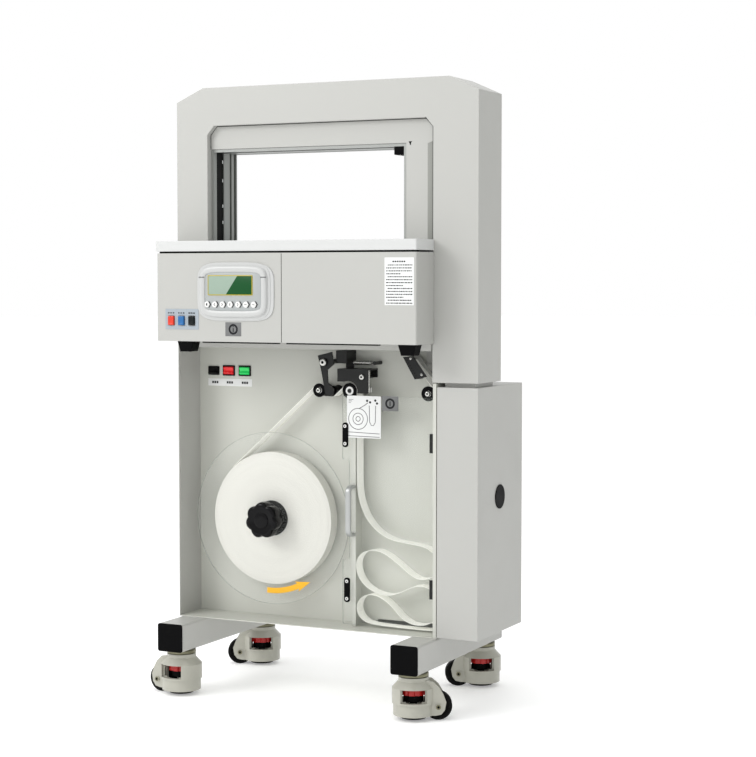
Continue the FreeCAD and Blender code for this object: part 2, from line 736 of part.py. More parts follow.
def ribbon(points, thick):
    """Flat band whose middle line runs through points in the XZ plane."""
    curve = Part.BSplineCurve()
    curve.interpolate([Vector(x, tape_front_y, z) for x, z in points])
    count = 5 * len(points)
    first, last = curve.FirstParameter, curve.LastParameter
    sides = ([], [])
    for k in range(count + 1):
        u = first + (last - first) * k / count
        here, along = curve.value(u), curve.tangent(u)[0]
        across = Vector(-along.z, 0, along.x) * (thick / 2)
        sides[0].append(here + across)
        sides[1].append(here - across)
    rails = []
    for side in sides:
        rail = Part.BSplineCurve()
        rail.interpolate(side)
        rails.append(rail.toShape())
    ends = [Part.makeLine(sides[0][k], sides[1][k]) for k in (0, -1)]
    outline = Part.Wire(Part.__sortEdges__(rails + ends))
    return Part.Face(outline).extrude(Vector(0, tape_width, 0))


slack_points = [
    (57.6, 600), (57.6, 540), (57.6, 480), (60.5, 437), (68, 411), (81, 387), (101, 366), (128, 350.5),
    (158, 343.5), (190, 340), (216, 334.5), (235, 322), (243, 302), (236, 281), (216, 269.5),
    (194, 270), (170, 284), (146, 301.5), (125, 314.5), (106, 321.5), (85, 321), (66, 312.5),
    (56, 295), (58, 272), (71, 251), (91, 237.5), (115, 230.5), (140, 231.5), (165, 242), (190, 252),
    (216, 252.5), (236, 240), (243.5, 217), (241, 193), (225, 178), (202, 172), (180, 174.5),
    (160, 185), (142, 202), (123, 217.5), (103, 226.5), (83, 227.5), (66, 219), (57, 202),
    (62, 182), (78, 170), (103, 165.5), (140, 164), (180, 163.2), (215, 163), (238, 166.5),
    (249, 180), (251, 210), (251, 280), (251, 360), (251, 440), (251, 520), (249.5, 585), (243, 622),
]


def tape_web():
    off = 0.4 + tape_thick / 2
    roll = (reel_x, reel_z, roll_radius + off, 1)
    guide = (guide_at[0], guide_at[1], guide_at[2] + off, 1)
    dancer = (dancer_at[0], dancer_at[1], dancer_at[2] + off, -1)
    feed = (feed_at[0], feed_at[1], feed_at[2] + off, 1)
    below_feed = (feed_at[0], 620.0, feed_at[2] + off, 1)
    run_in = wrap_points([roll, guide, dancer, feed, below_feed], 5.0)
    run_out = wrap_points([(exit_at[0], 640.0, exit_at[2] + off, -1),
                           (exit_at[0], exit_at[1], exit_at[2] + off, -1),
                           (181.0, 724.0, 1.0, -1)], 5.0)
    loops = run_in[-1:] + slack_points + run_out[:1]
    first = Part.makeCompound([band(run_in), band(run_out)])
    return Part.makeCompound([first, ribbon(loops, tape_thick)])


def band(points):
    """Band of straight runs and short chords, as wide as the tape."""
    left, right = [], []
    for k, (x, z) in enumerate(points):
        x0, z0 = points[max(k - 1, 0)]
        x1, z1 = points[min(k + 1, len(points) - 1)]
        length = math.hypot(x1 - x0, z1 - z0)
        nx, nz = -(z1 - z0) / length * tape_thick / 2, (x1 - x0) / length * tape_thick / 2
        left.append((x + nx, z + nz))
        right.append((x - nx, z - nz))
    return prism_xz(left + right[::-1], tape_front_y, tape_back_y)


# Switches

def rocker(x, z):
    outline = [(-6.0, 6.4), (-3.6, 0.0), (-7.4, -4.8), (-3.0, -8.3), (5.0, -7.0), (5.0, 7.0), (-3.0, 8.3)]
    centre_y = panel_y + 1.0
    cap = prism_yz([(centre_y + y, z + dz) for y, dz in outline], x - rocker_half_width, x + rocker_half_width)
    return joined(cap, rod_x(x - rocker_half_width - 0.4, x + rocker_half_width + 0.4, centre_y, z, rocker_pin))


parts["base_beams"] = base_beams()
parts["black_plugs"] = black_plugs()
parts["caster_races"] = caster_races()
caster_pieces = {
    "caster_housing": caster_housing(),
    "caster_wheel": caster_wheel(),
    "caster_thumbwheel": caster_thumbwheel(),
    "caster_pad": caster_pad(),
}
for piece, shape in caster_pieces.items():
    for corner_name in casters:
        parts[piece + "_" + corner_name] = placed_on_caster(shape, corner_name)
parts["floor_tray"] = floor_tray()
parts["left_side_wall"] = left_side_wall()
parts["reel_panel"] = reel_panel()
parts["rear_cover"] = rear_cover()
parts["right_column"] = right_column()
parts["arch_shell"] = arch_shell()
parts["arch_back_cover"] = arch_back_cover()
parts["arch_lining"] = arch_lining()
parts["guide_track"] = guide_track()
parts["table_top"] = table_top()
parts["control_box"] = control_box()
parts["box_bumpers"] = box_bumpers()
parts["operator_panel"] = operator_panel()
for colour, x in zip(("red", "blue", "black"), button_x):
    parts["button_" + colour] = push_button(x)
parts["sealing_head"] = sealing_head()
parts["cam_shaft"] = cam_shaft()
parts["gear_motors"] = gear_motors()
parts["magazine_walls"] = magazine_walls()
parts["magazine_door"] = magazine_door()
parts["door_handle"] = door_handle()
parts["door_hinge_leaves"] = door_hinge_leaves()
parts["door_hinge_posts"] = door_hinge_posts()
parts["reel_spindle"] = reel_spindle()
parts["reel_hub"] = reel_hub()
parts["reel_disc"] = reel_disc()
parts["tape_roll"] = tape_roll()
parts["reel_knob"] = reel_knob()
parts["feed_bracket"] = feed_bracket()
parts["guide_roller"] = flanged_roller(guide_at, 1.5)
parts["feed_roller"] = flanged_roller(feed_at, 1.2)
parts["exit_roller"] = flanged_roller(exit_at, 1.5)
parts["dancer_arm"] = dancer_arm()
parts["dancer_roller"] = flanged_roller(dancer_at, 0.9)
parts["tension_spring"] = tension_spring()
parts["tape_chute"] = tape_chute()
parts["tape_web"] = tape_web()
for colour, (x, z) in rocker_places.items():
    parts["rocker_" + colour] = rocker(x, z)

low, high = Vector(1e9, 1e9, 1e9), Vector(-1e9, -1e9, -1e9)
for name, shape in parts.items():
    shape.translate(origin_shift)
    shape.exportStep("parts/" + name + ".step")
    bounds = shape.optimalBoundingBox(False)
    low = Vector(min(low.x, bounds.XMin), min(low.y, bounds.YMin), min(low.z, bounds.ZMin))
    high = Vector(max(high.x, bounds.XMax), max(high.y, bounds.YMax), max(high.z, bounds.ZMax))
    print(name, len(shape.Solids), shape.isValid(), round(shape.Volume / 1000, 1))
print("nodes", len(parts), "low", low, "high", high)
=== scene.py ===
import json
import math
import random

import bmesh
import bpy
from mathutils import Matrix, Vector

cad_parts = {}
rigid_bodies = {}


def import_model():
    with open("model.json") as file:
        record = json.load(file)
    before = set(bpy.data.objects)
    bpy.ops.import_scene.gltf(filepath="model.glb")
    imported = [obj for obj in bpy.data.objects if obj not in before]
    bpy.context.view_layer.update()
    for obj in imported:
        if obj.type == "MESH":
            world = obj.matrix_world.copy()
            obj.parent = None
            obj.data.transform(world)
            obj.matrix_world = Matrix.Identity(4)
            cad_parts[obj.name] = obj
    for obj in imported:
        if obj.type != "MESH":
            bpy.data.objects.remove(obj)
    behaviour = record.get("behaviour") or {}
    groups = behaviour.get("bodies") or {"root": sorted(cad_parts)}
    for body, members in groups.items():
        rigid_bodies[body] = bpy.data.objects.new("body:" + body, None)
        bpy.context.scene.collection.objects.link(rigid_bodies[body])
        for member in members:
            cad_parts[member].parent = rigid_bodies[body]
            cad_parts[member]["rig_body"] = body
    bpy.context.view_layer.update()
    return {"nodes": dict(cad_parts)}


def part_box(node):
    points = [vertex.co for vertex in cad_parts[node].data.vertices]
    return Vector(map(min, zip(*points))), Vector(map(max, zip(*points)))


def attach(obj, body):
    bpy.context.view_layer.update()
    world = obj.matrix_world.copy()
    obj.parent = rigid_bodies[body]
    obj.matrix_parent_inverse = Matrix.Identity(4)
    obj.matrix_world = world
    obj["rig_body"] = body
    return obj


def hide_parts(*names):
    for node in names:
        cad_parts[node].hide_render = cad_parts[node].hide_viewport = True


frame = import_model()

scene = bpy.context.scene
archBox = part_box("arch_shell")
middle = (archBox[0].x + archBox[1].x) / 2  # every place below is measured in mm from the arch's middle


def place(x, y, z):
    return Vector((x / 1000 + middle, y / 1000, z / 1000))


def nodeBox(node):  # a CAD node's corners, back in mm from the arch's middle
    low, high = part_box(node)
    return [((p.x - middle) * 1000, p.y * 1000, p.z * 1000) for p in (low, high)]


def tone(red, green, blue):  # display colour, 0 to 255, as linear light
    return tuple(((c / 255 + 0.055) / 1.055) ** 2.4 if c > 10 else c / 3295 for c in (red, green, blue))


# Finishes

usual = {"metal": 0, "coat": 0, "alpha": 1, "gloss": 0.5, "change": 0.05, "clouds": 7, "wander": 0.05, "grain": 900,
         "bump": 0.2, "depth": 0.0002, "stretch": (1, 1, 1), "glow": 0}  # what a finish has unless it says otherwise
allAlike = {"coatRough": 0.1, "ior": 1.5, "glossFiner": 6}


def startFinish(name, look):
    look = {**usual, **look}
    made = bpy.data.materials.new(name)
    made.use_nodes = True
    shader = made.node_tree.nodes["Principled BSDF"]
    settings = {"Base Color": (*tone(*look["colour"]), 1), "Metallic": look["metal"], "Roughness": look["rough"],
                "Coat Weight": look["coat"], "Coat Roughness": allAlike["coatRough"], "Alpha": look["alpha"],
                "IOR": allAlike["ior"], "Specular IOR Level": look["gloss"]}
    for key, value in settings.items():
        shader.inputs[key].default_value = value
    return made, shader


def add(made, kind, **values):
    node = made.node_tree.nodes.new("ShaderNode" + kind)
    for key, value in values.items():
        if key in node.inputs:
            node.inputs[key].default_value = value
        else:
            setattr(node, key, value)
    return node


def noiseOn(made, scale, detail=3, stretch=(1, 1, 1)):
    where = add(made, "TexCoord")
    mapping = add(made, "Mapping", Scale=stretch)
    noise = add(made, "TexNoise", Scale=scale, Detail=detail)
    made.node_tree.links.new(where.outputs["Object"], mapping.inputs["Vector"])
    made.node_tree.links.new(mapping.outputs["Vector"], noise.inputs["Vector"])
    return noise.outputs["Fac"]


def spread(made, value, low, high, start=0.3, end=0.7):
    ranged = add(made, "MapRange")
    for key, number in zip(("From Min", "From Max", "To Min", "To Max"), (start, end, low, high)):
        ranged.inputs[key].default_value = number
    made.node_tree.links.new(value, ranged.inputs["Value"])
    return ranged.outputs["Result"]


def twoTone(made, factor, first, second):
    mix = add(made, "Mix", data_type="RGBA")
    sockets = {s.name + s.type: s for s in mix.inputs}
    sockets["ARGBA"].default_value = (*first, 1)
    sockets["BRGBA"].default_value = (*second, 1)
    made.node_tree.links.new(factor, mix.inputs[0])
    return [s for s in mix.outputs if s.type == "RGBA"][0]


def relief(made, shader, height, strength, depth):
    bump = add(made, "Bump", Strength=strength, Distance=depth)
    made.node_tree.links.new(height, bump.inputs["Height"])
    made.node_tree.links.new(bump.outputs["Normal"], shader.inputs["Normal"])


def finish(name, look):  # colour clouds, uneven gloss and a fine relief, each at its own scale
    look = {**usual, **look}
    made, shader = startFinish(name, look)
    links = made.node_tree.links
    base = tone(*look["colour"])
    clouds = noiseOn(made, look["clouds"], 4, look["stretch"])
    dark, light = [tuple(min(1, c * k) for c in base) for k in (1 - look["change"], 1 + look["change"])]
    links.new(twoTone(made, spread(made, clouds, 0, 1), dark, light), shader.inputs["Base Color"])
    gloss = noiseOn(made, look["clouds"] * allAlike["glossFiner"], 3, look["stretch"])
    low, high = look["rough"] - look["wander"], look["rough"] + look["wander"]
    links.new(spread(made, gloss, low, high), shader.inputs["Roughness"])
    relief(made, shader, noiseOn(made, look["grain"], 2, look["stretch"]), look["bump"], look["depth"])
    if look["glow"]:
        shader.inputs["Emission Color"].default_value = (*base, 1)
        shader.inputs["Emission Strength"].default_value = look["glow"]
    return made


paint = {"rough": 0.42, "clouds": 3, "grain": 700, "bump": 0.12, "wander": 0.04}
pressedCap = {"rough": 0.3, "clouds": 90, "grain": 1500, "bump": 0.08}
litCap = {"rough": 0.18, "change": 0.06, "clouds": 90, "grain": 600, "bump": 0.05}
looks = {
    "sheetPaint": {**paint, "colour": (180, 180, 176), "change": 0.012},
    "innerPaint": {**paint, "colour": (196, 197, 189), "change": 0.015, "clouds": 4},
    "tablePaint": {**paint, "colour": (204, 205, 204), "rough": 0.34, "change": 0.006, "bump": 0.04,
        "wander": 0.015},
    "blackPlug": {"colour": (4, 4, 5), "rough": 0.5, "gloss": 0.06, "change": 0.15, "grain": 1400, "bump": 0.25},
    "blackGloss": {"colour": (4, 4, 5), "rough": 0.12, "gloss": 0.16, "change": 0.1, "grain": 300, "bump": 0.05,
        "wander": 0.03},
    "castPaint": {"colour": (172, 171, 160), "rough": 0.38, "change": 0.04, "clouds": 30, "grain": 420,
        "bump": 0.3, "depth": 0.0004, "coat": 0.2},
    "rubber": {"colour": (9, 9, 9), "rough": 0.7, "gloss": 0.12, "change": 0.2, "clouds": 40, "grain": 1600,
        "bump": 0.35},
    "zinc": {"colour": (120, 118, 98), "rough": 0.34, "metal": 1, "change": 0.18, "clouds": 60, "grain": 800,
        "bump": 0.1},
    "redNylon": {"colour": (186, 22, 20), "rough": 0.35, "change": 0.08, "clouds": 50, "bump": 0.15},
    # the tape's glow is painted light: it brightens the tape in the shaded magazine as if light came through the
    # plastic
    "tapePlastic": {"colour": (246, 246, 240), "rough": 0.4, "glow": 0.12, "change": 0.015, "clouds": 30,
        "grain": 1200, "bump": 0.12, "stretch": (1, 0.05, 1)},
    "railAluminium": {"colour": (158, 160, 157), "rough": 0.36, "metal": 0.6, "change": 0.03, "clouds": 20,
        "grain": 1500, "bump": 0.1, "stretch": (8, 8, 0.4)},
    "slotBlack": {"colour": (9, 10, 9), "rough": 0.6, "gloss": 0.12, "change": 0.2},
    "slotGrey": {"colour": (72, 75, 68), "rough": 0.55, "change": 0.08},
    "darkSteel": {"colour": (27, 28, 27), "rough": 0.34, "metal": 0.3, "gloss": 0.35, "change": 0.2, "clouds": 40,
        "grain": 1100, "bump": 0.3},
    "brightSteel": {"colour": (200, 200, 196), "rough": 0.24, "metal": 1, "clouds": 60,
        "grain": 900, "bump": 0.08, "stretch": (1, 12, 1)},
    "panelSilver": {"colour": (190, 191, 190), "rough": 0.3, "change": 0.006, "clouds": 4, "grain": 1500,
        "bump": 0.02, "wander": 0.015},
    "membrane": {"colour": (164, 168, 168), "rough": 0.42, "change": 0.015, "grain": 1800, "bump": 0.15},
    "handleSilver": {"colour": (176, 178, 177), "rough": 0.34, "metal": 0.5, "change": 0.03, "clouds": 30,
        "grain": 1300, "bump": 0.02},
    "motorGrey": {"colour": (120, 124, 126), "rough": 0.45, "metal": 0.3, "change": 0.08},
    "buttonRed": {**pressedCap, "colour": (214, 52, 26)},
    "buttonBlue": {**pressedCap, "colour": (20, 98, 160)},
    "buttonBlack": {**pressedCap, "colour": (12, 20, 20), "gloss": 0.2, "change": 0.1},
    "rockerRed": {**litCap, "colour": (214, 30, 36), "glow": 0.25},
    "rockerGreen": {**litCap, "colour": (34, 196, 92), "glow": 0.3},
    "plateBlue": {"colour": (158, 167, 174), "rough": 0.4, "change": 0.02, "grain": 1800, "bump": 0.1},
    "stickerGrey": {"colour": (108, 109, 109), "rough": 0.4, "change": 0.03, "clouds": 80, "grain": 1600},
    "stickerYellow": {"colour": (236, 176, 14), "rough": 0.35, "change": 0.03, "clouds": 60, "grain": 1600,
        "bump": 0.08},
    "paper": {"colour": (226, 227, 226), "rough": 0.55, "change": 0.01, "grain": 2200, "bump": 0.15},
    "seam": {"colour": (52, 54, 52), "rough": 0.7, "gloss": 0.15, "change": 0.1, "grain": 1500, "bump": 0.05},
    "foldShade": {"colour": (146, 147, 142), "rough": 0.5, "gloss": 0.2, "change": 0.02, "grain": 700, "bump": 0.1},
    "ink": {"colour": (28, 29, 31), "rough": 0.6, "gloss": 0.2, "change": 0.1, "grain": 1500, "bump": 0.05},
    "goldFrame": {"colour": (176, 158, 40), "rough": 0.35, "clouds": 60},
    "keyWhite": {"colour": (226, 226, 224), "rough": 0.35, "change": 0.01, "clouds": 90, "grain": 1500},
}
finishes = {name: finish(name, look) for name, look in looks.items()}

rollLook = {"colour": (220, 219, 212), "rough": 0.5, "ringsPerMetre": 1600, "bandsPerMetre": 60, "shade": 0.95,
            "bump": 0.25}
# the screen's paler left part is a painted reflection, bounded by a slanting line through the corner
screenLook = {"colour": (24, 78, 40), "sheen": (150, 168, 154), "rough": 0.3, "gloss": 0.15, "slant": 0.7,
              "corner": (-164.0, 878.0), "blur": 0.0004, "grain": 900, "bump": 0.05, "depth": 0.0001}
clearLooks = {"clearSheet": {"colour": (232, 236, 230), "rough": 0.05, "alpha": 0.035},
              "doorSheet": {"colour": (214, 220, 214), "rough": 0.05, "alpha": 0.045},
              "clearEdge": {"colour": (150, 158, 150), "rough": 0.2, "alpha": 0.6}}
smears = {"scale": 14, "dull": 0.1, "change": 0.1}


def clearFinish(name, look):  # acrylic sheet, with faint smears in its gloss
    made, shader = startFinish(name, look)
    patches = noiseOn(made, smears["scale"], 3)
    links = made.node_tree.links
    links.new(spread(made, patches, look["rough"], look["rough"] + smears["dull"]), shader.inputs["Roughness"])
    thin, thick = look["alpha"] * (1 - smears["change"]), look["alpha"] * (1 + smears["change"])
    links.new(spread(made, patches, thin, thick), shader.inputs["Alpha"])
    return made


def rollFinish():  # the wound edges of the tape: fine rings round the reel's middle, and broad soft bands
    made, shader = startFinish("rollEdge", rollLook)
    links = made.node_tree.links
    low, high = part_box("tape_roll")
    where = add(made, "TexCoord")
    offset = add(made, "VectorMath", operation="SUBTRACT")
    offset.inputs[1].default_value = ((low.x + high.x) / 2, 0, (low.z + high.z) / 2)
    flat = add(made, "VectorMath", operation="MULTIPLY")
    flat.inputs[1].default_value = (1, 0, 1)
    reach = add(made, "VectorMath", operation="LENGTH")
    links.new(where.outputs["Object"], offset.inputs[0])
    links.new(offset.outputs["Vector"], flat.inputs[0])
    links.new(flat.outputs["Vector"], reach.inputs[0])
    rings = add(made, "TexNoise", noise_dimensions="1D", Scale=rollLook["ringsPerMetre"], Detail=2)
    bands = add(made, "TexNoise", noise_dimensions="1D", Scale=rollLook["bandsPerMetre"], Detail=2)
    for noise in (rings, bands):
        links.new(reach.outputs["Value"], noise.inputs["W"])
    base = tone(*rollLook["colour"])
    dark = tuple(c * rollLook["shade"] for c in base)
    links.new(twoTone(made, spread(made, bands.outputs["Fac"], 0, 1), dark, base), shader.inputs["Base Color"])
    relief(made, shader, rings.outputs["Fac"], rollLook["bump"], usual["depth"])
    return made


def screenFinish():  # liquid crystal glass with a painted reflection: a paler slanting band over its left part
    made, shader = startFinish("screenGlass", screenLook)
    links = made.node_tree.links
    where = add(made, "TexCoord")
    split = add(made, "SeparateXYZ")
    slope = add(made, "Math", operation="MULTIPLY_ADD")
    slope.inputs[1].default_value = -screenLook["slant"]
    corner = place(screenLook["corner"][0], 0, screenLook["corner"][1])
    side = add(made, "MapRange")
    edge = corner.x - screenLook["slant"] * corner.z
    side.inputs["From Min"].default_value = edge - screenLook["blur"]
    side.inputs["From Max"].default_value = edge + screenLook["blur"]
    links.new(where.outputs["Object"], split.inputs[0])
    links.new(split.outputs["Z"], slope.inputs[0])
    links.new(split.outputs["X"], slope.inputs[2])
    links.new(slope.outputs[0], side.inputs["Value"])
    links.new(twoTone(made, side.outputs["Result"], tone(*screenLook["sheen"]), tone(*screenLook["colour"])),
              shader.inputs["Base Color"])
    relief(made, shader, noiseOn(made, screenLook["grain"], 1), screenLook["bump"], screenLook["depth"])
    return made


finishes["rollEdge"] = rollFinish()
finishes["screenGlass"] = screenFinish()
for name, look in clearLooks.items():
    finishes[name] = clearFinish(name, look)
print("finishes made:", len(finishes))


# Outlines, in mm, anticlockwise
sharpestMitre = 0.4  # holds an inset corner back
roundest = 0.3  # the least radius left in a shrunk corner


def roundRect(x0, x1, z0, z1, radius, steps=5):
    points = []
    for cx, cz, start in ((x1 - radius, z0 + radius, -90), (x1 - radius, z1 - radius, 0),
                          (x0 + radius, z1 - radius, 90), (x0 + radius, z0 + radius, 180)):
        for k in range(steps + 1):
            turn = math.radians(start + 90 * k / steps)
            points.append((cx + radius * math.cos(turn), cz + radius * math.sin(turn)))
    return points


def shrunk(area, step, radius, steps):  # the same round rectangle, moved in by a step
    x0, x1, z0, z1 = area
    return roundRect(x0 + step, x1 - step, z0 + step, z1 - step, max(roundest, radius - step), steps)


def around(centre, half):
    return centre[0] - half[0], centre[0] + half[0], centre[1] - half[1], centre[1] + half[1]


def inset(outline, distance):
    moved = []
    count = len(outline)
    for k, (x, z) in enumerate(outline):
        ax, az = outline[k - 1]
        bx, bz = outline[(k + 1) % count]
        first = Vector((x - ax, z - az)).normalized()
        second = Vector((bx - x, bz - z)).normalized()
        normal = Vector((-first.y - second.y, first.x + second.x))
        normal = normal.normalized() / max(sharpestMitre, math.sqrt(max(0.0, (1 + first.dot(second)) / 2)))
        moved.append((x + normal.x * distance, z + normal.y * distance))
    return moved


def barrel(middleAt, half, power=4.6, steps=72):  # a rectangle with bowed sides and round corners
    points = []
    for k in range(steps):
        turn = 2 * math.pi * k / steps
        c, s = math.cos(turn), math.sin(turn)
        points.append((middleAt[0] + half[0] * math.copysign(abs(c) ** (2 / power), c),
                       middleAt[1] + half[1] * math.copysign(abs(s) ** (2 / power), s)))
    return points


rimShare = 0.3  # an eased rim has a middle step at this share of its width
inkRise = 0.12
screwHead = {"rim": ((1, 0), (1, 0.5), (0.86, 0.86), (0.6, 1), (0.5, 1)), "socket": (0.46, 0.44), "socketAt": 0.9,
             "proud": 0.03}  # shares of the head's radius and of its rise


class Bench:  # gathers the faces of one piece, with the finish of each
    def __init__(self, turned=None):
        self.mesh = bmesh.new()
        self.used = []
        self.turned = turned

    def point(self, spot):
        spot = self.turned @ Vector(spot) if self.turned else spot
        return self.mesh.verts.new(place(*spot))

    def mark(self, faces, name):
        if name not in self.used:
            self.used.append(name)
        for face in faces:
            face.material_index = self.used.index(name)
            face.smooth = True

    def loft(self, name, rings, closed=False):
        rows = [[self.point(spot) for spot in ring] for ring in rings]
        pairs = list(zip(rows, rows[1:])) + ([(rows[-1], rows[0])] if closed else [])
        faces = []
        for a, b in pairs:
            for k in range(len(a)):
                n = (k + 1) % len(a)
                faces.append(self.mesh.faces.new((a[k], a[n], b[n], b[k])))
        if not closed:
            faces.append(self.mesh.faces.new(rows[0][::-1]))
            faces.append(self.mesh.faces.new(rows[-1]))
        self.mark(faces, name)

    def stack(self, name, layers, axis="y", closed=False):  # layers are (outline, distance along the axis)
        spots = {"y": lambda a, b, h: (a, h, b), "z": lambda a, b, h: (a, b, h), "x": lambda a, b, h: (h, a, b)}
        self.loft(name, [[spots[axis](a, b, h) for a, b in outline] for outline, h in layers], closed)

    def slab(self, name, outline, back, front, edge=0.3, axis="y"):  # rounded on its front rim
        way = math.copysign(1, front - back)
        nearly = inset(outline, edge * rimShare)
        self.stack(name, [(outline, back), (outline, front - way * edge), (nearly, front - way * edge * rimShare),
                          (inset(outline, edge), front)], axis)

    def block(self, name, low, high, edge=0.8, corner=1.5):  # rounded on every rim
        outline = roundRect(low[0], high[0], low[2], high[2], corner, 3)
        inner = inset(outline, edge)
        nearly = inset(outline, edge * rimShare)
        self.stack(name, [(inner, high[1]), (nearly, high[1] - edge * rimShare), (outline, high[1] - edge),
                          (outline, low[1] + edge), (nearly, low[1] + edge * rimShare), (inner, low[1])])

    def lathe(self, name, profile, centre, axis="y", steps=48, closed=False):  # profile is (radius, distance)
        layers = []
        for radius, along in profile:
            ring = [(centre[0] + radius * math.cos(2 * math.pi * k / steps),
                     centre[1] + radius * math.sin(2 * math.pi * k / steps)) for k in range(steps)]
            layers.append((ring, along))
        self.stack(name, layers, axis, closed)

    def tube(self, name, points, radius, steps=10, squash=1.0):
        points = [Vector(p) for p in points]
        rings = []
        side = None
        for k, here in enumerate(points):
            along = (points[min(k + 1, len(points) - 1)] - points[max(k - 1, 0)]).normalized()
            if side is None:
                side = along.orthogonal().normalized()
            side = (side - along * side.dot(along)).normalized()
            up = along.cross(side)
            rings.append([tuple(here + side * radius * math.cos(2 * math.pi * j / steps)
                                + up * radius * squash * math.sin(2 * math.pi * j / steps)) for j in range(steps)])
        self.loft(name, rings)

    def stroke(self, name, points, width, face):  # a flat printed line on a face that looks to -Y
        rows = []
        for k, (x, z) in enumerate(points):
            ax, az = points[max(k - 1, 0)]
            bx, bz = points[min(k + 1, len(points) - 1)]
            length = math.hypot(bx - ax, bz - az) or 1
            nx, nz = -(bz - az) / length * width / 2, (bx - ax) / length * width / 2
            rows.append([(x + nx, face, z + nz), (x - nx, face, z - nz), (x - nx, face - inkRise, z - nz),
                         (x + nx, face - inkRise, z + nz)])
        self.loft(name, rows)

    def screw(self, centre, face, radius, head="brightSteel", axis="y", out=-1, rise=2.2):
        rim = [(radius * share, face + out * rise * lift) for share, lift in screwHead["rim"]]
        self.lathe(head, rim, centre, axis, 24)
        wide, narrow = screwHead["socket"]
        socket = [(radius * wide, face + out * rise * screwHead["socketAt"]),
                  (radius * narrow, face + out * (rise + screwHead["proud"]))]
        self.lathe("blackPlug", socket, centre, axis, 6)

    def done(self, name, body, stands=(), sharp=34):
        bmesh.ops.recalc_face_normals(self.mesh, faces=self.mesh.faces)
        data = bpy.data.meshes.new(name)
        self.mesh.to_mesh(data)
        self.mesh.free()
        for used in self.used:
            data.materials.append(finishes[used])
        data.set_sharp_from_angle(angle=math.radians(sharp))
        piece = bpy.data.objects.new(name, data)
        scene.collection.objects.link(piece)
        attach(piece, body)
        if stands:
            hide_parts(*stands)
        return piece


def circle(centre, radius, start=0, end=360, steps=40):
    return [(centre[0] + radius * math.cos(math.radians(start + (end - start) * k / steps)),
             centre[1] + radius * math.sin(math.radians(start + (end - start) * k / steps)))
            for k in range(steps + 1)]


def frontMiddle(node):
    low, high = nodeBox(node)
    return (low[0] + high[0]) / 2, (low[2] + high[2]) / 2


# Sheet metal and castings: the CAD shape with its folded edges eased
easing = {"weld": 2e-6, "flat": 0.4, "fold": 38, "sharp": 40}  # metres, then degrees


def eased(node, name, edge=0.6, segments=2, second=None, chooses=None):
    source = frame["nodes"][node]
    work = bmesh.new()
    work.from_mesh(source.data)
    bmesh.ops.remove_doubles(work, verts=work.verts, dist=easing["weld"])
    bmesh.ops.dissolve_limit(work, angle_limit=math.radians(easing["flat"]), verts=work.verts, edges=work.edges)
    folds = [e for e in work.edges if e.is_manifold and e.calc_face_angle(0) > math.radians(easing["fold"])]
    bmesh.ops.bevel(work, geom=folds, offset=edge / 1000, segments=segments, profile=0.5, affect="EDGES",
                    clamp_overlap=True)
    data = bpy.data.meshes.new("eased_" + node)
    work.to_mesh(data)
    work.free()
    data.materials.clear()
    for used in (name, second) if second else (name,):
        data.materials.append(finishes[used])
    for face in data.polygons:
        face.material_index = int(bool(chooses and chooses(face)))
        face.use_smooth = True
    data.set_sharp_from_angle(angle=math.radians(easing["sharp"]))
    piece = bpy.data.objects.new("eased_" + node, data)
    scene.collection.objects.link(piece)
    weighted = piece.modifiers.new("flatFaces", "WEIGHTED_NORMAL")
    weighted.keep_sharp = True
    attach(piece, source["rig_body"])
    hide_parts(node)
    return piece


sheetEdges = {
    "arch_shell": 0.8, "arch_back_cover": 0.5, "arch_lining": 0.5, "left_side_wall": 0.5, "reel_panel": 0.4,
    "rear_cover": 0.5, "right_column": 0.9, "floor_tray": 0.5, "control_box": 0.8, "magazine_walls": 0.5,
    "base_beams": 0.6,
}
innerSheets = ("reel_panel", "magazine_walls", "floor_tray")
corners = ("fl", "fr", "rl", "rr")
thickEdges = {"table_top": ("tablePaint", 1.2), "box_bumpers": ("blackPlug", 1.2), "black_plugs": ("blackPlug", 0.8),
              **{"caster_housing_" + corner: ("castPaint", 0.9) for corner in corners}}
for node, edge in sheetEdges.items():
    eased(node, "innerPaint" if node in innerSheets else "sheetPaint", edge)
for node, (name, edge) in thickEdges.items():
    eased(node, name, edge, 3)
chuteRear = place(0, -60.0, 0).y  # behind this the chute has the colour of the box
eased("tape_chute", "darkSteel", 0.4, 2, "sheetPaint", lambda face: face.center.y > chuteRear)
print("sheet metal and castings eased")

# CAD pieces whose shape stays, with their finishes
kept = {
    "brightSteel": ["reel_spindle", "sealing_head", "cam_shaft"],
    "darkSteel": ["feed_bracket", "dancer_arm", "door_hinge_leaves", "door_hinge_posts"],
    "blackPlug": ["guide_roller", "feed_roller", "exit_roller", "dancer_roller", "reel_hub"],
    "railAluminium": ["guide_track"],
    "motorGrey": ["gear_motors"],
    "zinc": ["caster_races"],
    "tapePlastic": ["tape_web"],
    "rubber": ["caster_wheel_" + c for c in corners] + ["caster_pad_" + c for c in corners],
    "redNylon": ["caster_thumbwheel_" + c for c in corners],
}
for name, members in kept.items():
    for node in members:
        data = frame["nodes"][node].data
        data.materials.clear()
        data.materials.append(finishes[name])
print("finishes on kept pieces")


